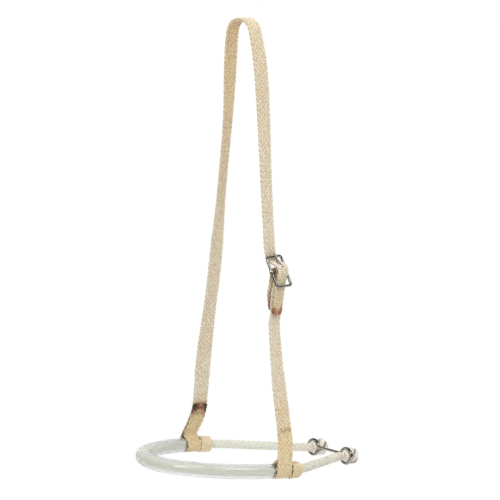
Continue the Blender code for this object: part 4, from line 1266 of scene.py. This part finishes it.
def laid_rope():
    """Strands laid round a heart, pinkish at both ends, with painted shade in the gaps between the tube and
    the loops, and painted light where the tube covers it.
    """
    rows = noseband_rows(-ROPE_END, ROPE_END, ROPE_STEP)
    up = np.array(NOSEBAND_UP)
    side = np.cross(slopes_of(rows), up)
    run = runs_of(rows)
    strand = ROPE_DIA / 2 / (1 + math.sqrt(2)) * STRAND_FULL
    orbit = ROPE_DIA / 2 - strand
    place = run - run[-1] / 2
    near = place > TUBE_END
    # Painted light: the rope inside the tube is given a lighter colour
    lit_inside_tube = np.clip((TUBE_END - np.abs(place)) / COVER_EASE, 0.0, 1.0)
    # Painted shade in the gaps between the tube's ends and the loops; the near side also gets grime
    from_gap = np.abs(np.abs(place) - TUBE_END - LOOP_GAP)
    shaded = np.maximum(GAP_SHADE * np.clip(1.5 - from_gap / COVER_EASE, 0.0, 1.0), NEAR_ROPE_GRIME * near)
    tint = np.clip(1 - np.minimum(run, run[-1] - run) / END_BLUSH_REACH, 0.0, 1.0)
    tint = np.maximum(tint, NEAR_ROPE_BLUSH * near) * END_BLUSH
    sides = 4 * STRAND_YARNS
    angles = angles_round(sides)
    skin = Skin()
    for k in range(ROPE_STRANDS):
        angle = 2 * np.pi * (run / ROPE_LAY + k / ROPE_STRANDS)
        outward = side * np.cos(angle)[:, None] + up * np.sin(angle)[:, None]
        centre = rows + orbit * outward
        rings = circle_rings(centre, strand, outward, sides)
        ridges = np.cos(STRAND_YARNS * (angles[None, :] - 2 * np.pi * (run / YARN_LAY)[:, None]))
        full = 1 - YARN_RIDGE + YARN_RIDGE * ridges
        rings = centre[:, None, :] + (rings - centre[:, None, :]) * full[:, :, None]
        skin.tube(rings, tint=tint, sear=shaded, yarn=lit_inside_tube)
    skin.tube(circle_rings(rows, orbit * HEART_SHARE, side, HEART_SIDES), tint=0.2, yarn=lit_inside_tube)
    skin.build("laid_rope", "rope", ("noseband_rope",), "noseband")


def rim_rings(outer, rows, end, step):
    """Rings of the rounded rim at one end of the tube, from its outside to its bore."""
    middle = rows[end]
    back = (rows[step] - middle) / np.linalg.norm(rows[step] - middle)
    outward = unit_rows(outer[end] - middle)
    rings = []
    turns = np.linspace(0, math.pi / 2, RIM_STEPS)
    for a in turns:
        radius = TUBE_OUTER / 2 - TUBE_RIM + TUBE_RIM * math.cos(a)
        rings.append(middle + outward * radius + back * TUBE_RIM * (1 - math.sin(a)))
    for a in turns:
        radius = TUBE_BORE / 2 + TUBE_RIM - TUBE_RIM * math.sin(a)
        rings.append(middle + outward * radius + back * TUBE_RIM * (1 - math.cos(a)))
    return np.array(rings)


def clear_tube():
    """Tube on the nose stretch: one closed skin, its bore in a cloudier material."""
    rows = noseband_rows(-TUBE_END, TUBE_END, TUBE_STEP)
    side = np.cross(slopes_of(rows), NOSEBAND_UP)
    outer = circle_rings(rows, TUBE_OUTER / 2, side, TUBE_SIDES)
    bore = circle_rings(rows, TUBE_BORE / 2, side, TUBE_SIDES)[-2:0:-1]
    near_rim = rim_rings(outer, rows, -1, -2)
    far_rim = rim_rings(outer, rows, 0, 1)[::-1]
    rings = np.concatenate([outer[1:-1], near_rim, bore, far_rim])
    tube = one_tube("clear_tube", rings, "vinyl", "nose_tube", "noseband", closed=True)
    tube.data.materials.append(FINISHES["bore"])
    first = len(outer) - 2 + len(near_rim)
    for face in tube.data.polygons[first * TUBE_SIDES:(first + len(bore)) * TUBE_SIDES]:
        face.material_index = 1


def rope_knots():
    """Each end of the rope: a wrapped neck through the clip's eye, then a lobed head."""
    full = KNOT_DIA / 2
    neck = KNOT_NECK / 2
    head = CLIP_WIRE / 2 + CLIP_TO_KNOT
    for sign, length in KNOT_LENGTH.items():
        eye = NOSEBAND_ORIGIN + X * sign * CLIP_SPACING / 2 + CHINWARD * CHIN_REACH
        profile = [(-NECK_AHEAD, ROPE_DIA / 2 - KNOT_INSET), (NECK_FLARE - NECK_AHEAD, neck), (0, neck)]
        profile += [(head + length * share, neck + (full - neck) * swell) for share, swell in KNOT_PROFILE]
        places, radii = np.array(profile).T
        fine = [np.linspace(a, b, 4, endpoint=False) for a, b in zip(places, places[1:])]
        fine = np.concatenate(fine + [places[-1:]])
        radius = smooth_rows(np.interp(fine, places, radii)[:, None], 2)
        rows = np.array([eye + CHINWARD * along for along in fine])
        rings = circle_rings(rows, 1.0, X, KNOT_SIDES) - rows[:, None, :]
        twist = fine / length * KNOT_TURN
        lobes = np.abs(np.sin(ROPE_STRANDS / 2 * (angles_round(KNOT_SIDES)[None, :] + twist[:, None] + sign)))
        swell = np.clip((fine - head / 2) / CREASE_EASE, 0.0, 1.0)
        crease = swell[:, None] * (1 - lobes**0.5)
        rings = rows[:, None, :] + rings * (radius * (1 - KNOT_CREASE * crease))[:, :, None]
        at_top = KNOT_TOP_BURN * np.clip((fine - head - length * KNOT_TOP_FROM) / (length * 0.2), 0.0, 1.0)
        # Darker where the clip's wire passes round the neck
        at_eye = KNOT_EYE_DARKEN * np.clip(1 - np.abs(fine - head * 0.6) / KNOT_EYE_REACH, 0.0, 1.0)
        # Painted shade in the knot's creases, over an even smoke stain
        in_crease = KNOT_CREASE_SHADE * crease**1.2 + KNOT_SMOKE
        darkened = np.maximum(np.maximum(at_top, at_eye)[:, None], in_crease)
        tint = np.where(fine < head, NECK_WEAR, KNOT_WEAR)
        name = SIDE_NAMES[sign] + "_rope_knot"
        one_tube(name + "_head", rings, "rope", name, "noseband", tint=tint, sear=darkened, yarn=0.4)


# Metal

def chin_clip():
    """One wire: a bar whose ends rise over and round an eye on each rope end."""
    mean = (CLIP_EYE_BORE + CLIP_WIRE) / 2
    eye = Vector((CLIP_SPACING / 2, 0))
    flare_y = CLIP_BAR_RISE + CLIP_FLARE
    apart = mean + CLIP_FLARE
    flare = Vector((eye.x - math.sqrt(apart**2 - flare_y**2), flare_y))
    meet = flare.lerp(eye, CLIP_FLARE / apart)
    bar_steps = 8
    half = [Vector((flare.x * i / bar_steps, CLIP_BAR_RISE)) for i in range(bar_steps)]
    turn = math.atan2(meet.y - flare.y, meet.x - flare.x)
    flare_steps = 10
    half += arc(flare, CLIP_FLARE, -math.pi / 2, turn, flare_steps)
    eye_steps = 56
    tip = math.radians(CLIP_TIP_DEG) - 2 * math.pi
    half += arc(eye, mean, turn + math.pi, tip, eye_steps)[1:]
    flat = [Vector((-p.x, p.y)) for p in half[:0:-1]] + half
    centre = NOSEBAND_ORIGIN + CHINWARD * CHIN_REACH
    rows = np.array([centre + X * p.x + NOSEBAND_UP * p.y for p in flat])
    radius = np.full(len(rows), CLIP_WIRE / 2)
    radius[[0, -1]] *= CLIP_TIP
    rings = circle_rings(rows, radius, CHINWARD, WIRE_SIDES)
    one_tube("chin_clip_wire", rings, "nickel", "chin_clip", "chin_clip")


def buckle():
    """Square wire frame with its centre bar and tongue."""
    half_w = (BUCKLE_INNER_WIDTH + BUCKLE_WIRE) / 2
    inset_w = half_w - BUCKLE_CORNER
    inset_h = BUCKLE_PITCH / 2 - BUCKLE_CORNER
    flat = []
    corner_steps = 8
    for quarter, (sw, sh) in enumerate(((1, 1), (-1, 1), (-1, -1), (1, -1))):
        start = math.pi / 2 * quarter
        corner = Vector((sw * inset_w, sh * inset_h))
        flat += arc(corner, BUCKLE_CORNER, start, start + math.pi / 2, corner_steps)
    rows = np.array([BAR_CENTRE + BUCKLE_SIDE * p.x + FRAME_DOWN * p.y for p in flat])
    along = unit_rows(np.roll(rows, -1, axis=0) - np.roll(rows, 1, axis=0))
    across = np.cross(along, FRAME_OUT)
    angles = angles_round(WIRE_SIDES)[None, :, None]
    round_wire = np.cos(angles) * np.array(FRAME_OUT) + np.sin(angles) * across[:, None, :]
    rings = rows[:, None, :] + BUCKLE_WIRE / 2 * round_wire
    one_tube("buckle_frame_wire", rings, "nickel", "buckle_frame", "buckle", closed=True)
    centre_bar(half_w)
    buckle_tongue()


def centre_bar(half_w):
    """Bar with its ends rolled round the frame's side rails."""
    places = np.linspace(-BAR_SHARE, BAR_SHARE, BAR_STATIONS)
    rows = np.array([BAR_CENTRE + BUCKLE_SIDE * half_w * place for place in places])
    skin = Skin()
    skin.tube(circle_rings(rows, BAR_DIA / 2, FRAME_OUT, BAR_SIDES))
    inner = BUCKLE_WIRE / 2 + SLEEVE_CLEAR
    turns = np.linspace(math.radians(SLEEVE_OPEN_DEG), math.radians(360 - SLEEVE_OPEN_DEG), SLEEVE_TURNS)
    for sign in (-1, 1):
        centre = BAR_CENTRE + BUCKLE_SIDE * half_w * sign
        profile = []
        for radius, angles in ((SLEEVE_DIA / 2, turns), (inner, turns[::-1])):
            profile += [(BUCKLE_SIDE * math.cos(a) * sign + FRAME_OUT * math.sin(a)) * radius for a in angles]
        rings = []
        for place, shrink in SLEEVE_ENDS:
            rings.append([centre + FRAME_DOWN * place * SLEEVE_LENGTH / 2 + p * shrink for p in profile])
        skin.tube(np.array(rings))
    skin.build("buckle_bar_rolled", "nickel", ("buckle_bar",), "buckle")


def buckle_tongue():
    """Wire eye round the centre bar, then a straight prong over the top bar."""
    flat = []
    eye_steps = 30
    for i in range(eye_steps + 1):
        a = math.radians(TONGUE_EYE_DEG) * (1 - i / eye_steps)
        flat.append(OFF_PRONG * TONGUE_EYE * math.cos(a) - PRONG * TONGUE_EYE * math.sin(a))
    length = TONGUE_REACH.length + TONGUE_OVERHANG
    flat += [OFF_PRONG * TONGUE_EYE + PRONG * length * share for share in TONGUE_STATIONS]
    rows = np.array([BAR_CENTRE + BUCKLE_DOWN * p.x + BUCKLE_OUT * p.y for p in flat])
    radius = np.full(len(rows), TONGUE_WIRE / 2)
    radius[-len(TONGUE_TAPER):] *= TONGUE_TAPER
    rings = circle_rings(rows, radius, BUCKLE_SIDE, BAR_SIDES)
    one_tube("buckle_tongue_wire", rings, "nickel", "buckle_tongue", "tongue")


crown, chape = straps()
stitches(crown, chape)
laid_rope()
clear_tube()
rope_knots()
chin_clip()
buckle()


# Studio

FLOOR_DEPTH = 0.72
FLOOR_RADIUS = 6.0
FLOOR_SHADE = 0.9
FLOOR_GLOW = 0.25
FLOOR_FADE = (0.35, 0.9)
FILL_COLOUR = (1.0, 0.995, 0.985)
FILL_STRENGTH = 0.55
WALLS = ((0.0, 0.22), (0.3, 0.1), (0.46, 0.02), (0.62, 0.015), (0.78, 0.06), (1.0, 0.3))
BACKDROP = (-0.737, 0.676, 0.0)
BACKDROP_EASE = (0.3, 0.75)
CLEAR_BESIDE = 0.8


def world():
    """White behind the object, soft even fill, and darker walls for shiny surfaces to show."""
    g = Graph(bpy.data.worlds.new("studio"))
    g.tree.nodes.clear()
    out = g.node("ShaderNodeOutputWorld")
    ray = g.node("ShaderNodeLightPath").outputs
    direction = g.coordinates("Generated")
    height = g.fed(g.node("ShaderNodeSeparateXYZ"), direction).outputs["Z"]
    towards = g.vector_math("DOT_PRODUCT", direction, BACKDROP)["Value"]
    behind = g.span(towards, *BACKDROP_EASE, curve="SMOOTHSTEP")
    walls = g.ramp(g.span(height, -1.0, 1.0), [(place, (level,) * 3) for place, level in WALLS])
    shown = g.light("ShaderNodeBackground", g.mix(behind, walls, (1.0, 1.0, 1.0)))
    fill = g.light("ShaderNodeBackground", FILL_COLOUR, FILL_STRENGTH)
    around = g.either(ray["Is Glossy Ray"], fill, shown)
    clear = g.math("MULTIPLY", ray["Is Transmission Ray"], g.span(behind, 0.0, 1.0, CLEAR_BESIDE))
    seen = g.math("MAXIMUM", ray["Is Camera Ray"], clear)
    g.put(out.inputs["Surface"], g.either(seen, around, g.light("ShaderNodeBackground")))
    bpy.context.scene.world = g.made


def floor():
    """Pale floor far below: it keeps the shadow near the object and fades to white further out."""
    mesh = bpy.data.meshes.new("floor")
    quarters = ((-1, -1), (1, -1), (1, 1), (-1, 1))
    corners = [(x * FLOOR_RADIUS, y * FLOOR_RADIUS, -FLOOR_DEPTH) for x, y in quarters]
    mesh.from_pydata(corners, [], [(0, 1, 2, 3)])
    g = material("pale_floor")
    g.tree.nodes.clear()
    out = g.node("ShaderNodeOutputMaterial")
    ray = g.node("ShaderNodeLightPath").outputs
    matt = g.fed(g.node("ShaderNodeBsdfDiffuse"), (FLOOR_SHADE,) * 3).outputs["BSDF"]
    glow = g.light("ShaderNodeEmission", strength=FLOOR_GLOW)
    bright = g.fed(g.node("ShaderNodeAddShader"), matt, glow).outputs["Shader"]
    level = g.vector_math("MULTIPLY", g.coordinates(), (1.0, 1.0, 0.0))["Vector"]
    fade = g.span(g.vector_math("LENGTH", level)["Value"], *FLOOR_FADE, curve="SMOOTHSTEP")
    fading = g.either(fade, bright, g.light("ShaderNodeEmission"))
    seen = g.math("MAXIMUM", ray["Is Camera Ray"], ray["Is Transmission Ray"])
    g.put(out.inputs["Surface"], g.either(seen, matt, fading))
    mesh.materials.append(g.made)
    add_object("floor", mesh)


def lamp(name, place, target, size, power, shines=True):
    data = bpy.data.lights.new(name, "AREA")
    data.shape = "RECTANGLE"
    data.size, data.size_y = size
    data.energy = power
    made = add_object(name, data)
    made.location = place
    made.rotation_euler = (Vector(target) - Vector(place)).to_track_quat("-Z", "Y").to_euler()
    made.visible_glossy = shines


world()
floor()
lamp("key_softbox", (0.95, -1.85, 1.1), (0, 0, -0.3), (0.9, 0.95), 19)
lamp("side_strip", (1.6, 0.5, 1.0), (0, 0, -0.4), (0.9, 0.6), 6)
lamp("fill_softbox", (-1.6, -0.8, 0.6), (0, 0, -0.3), (1.0, 1.0), 7, shines=False)
lamp("top_softbox", (0.1, 0.1, 1.5), (0, 0, -0.3), (1.0, 1.0), 10, shines=False)
lamp("rear_softbox", (0.4, 1.9, 0.7), (0, 0, -0.3), (1.2, 0.9), 8, shines=False)

bpy.context.scene.view_settings.view_transform = "Standard"
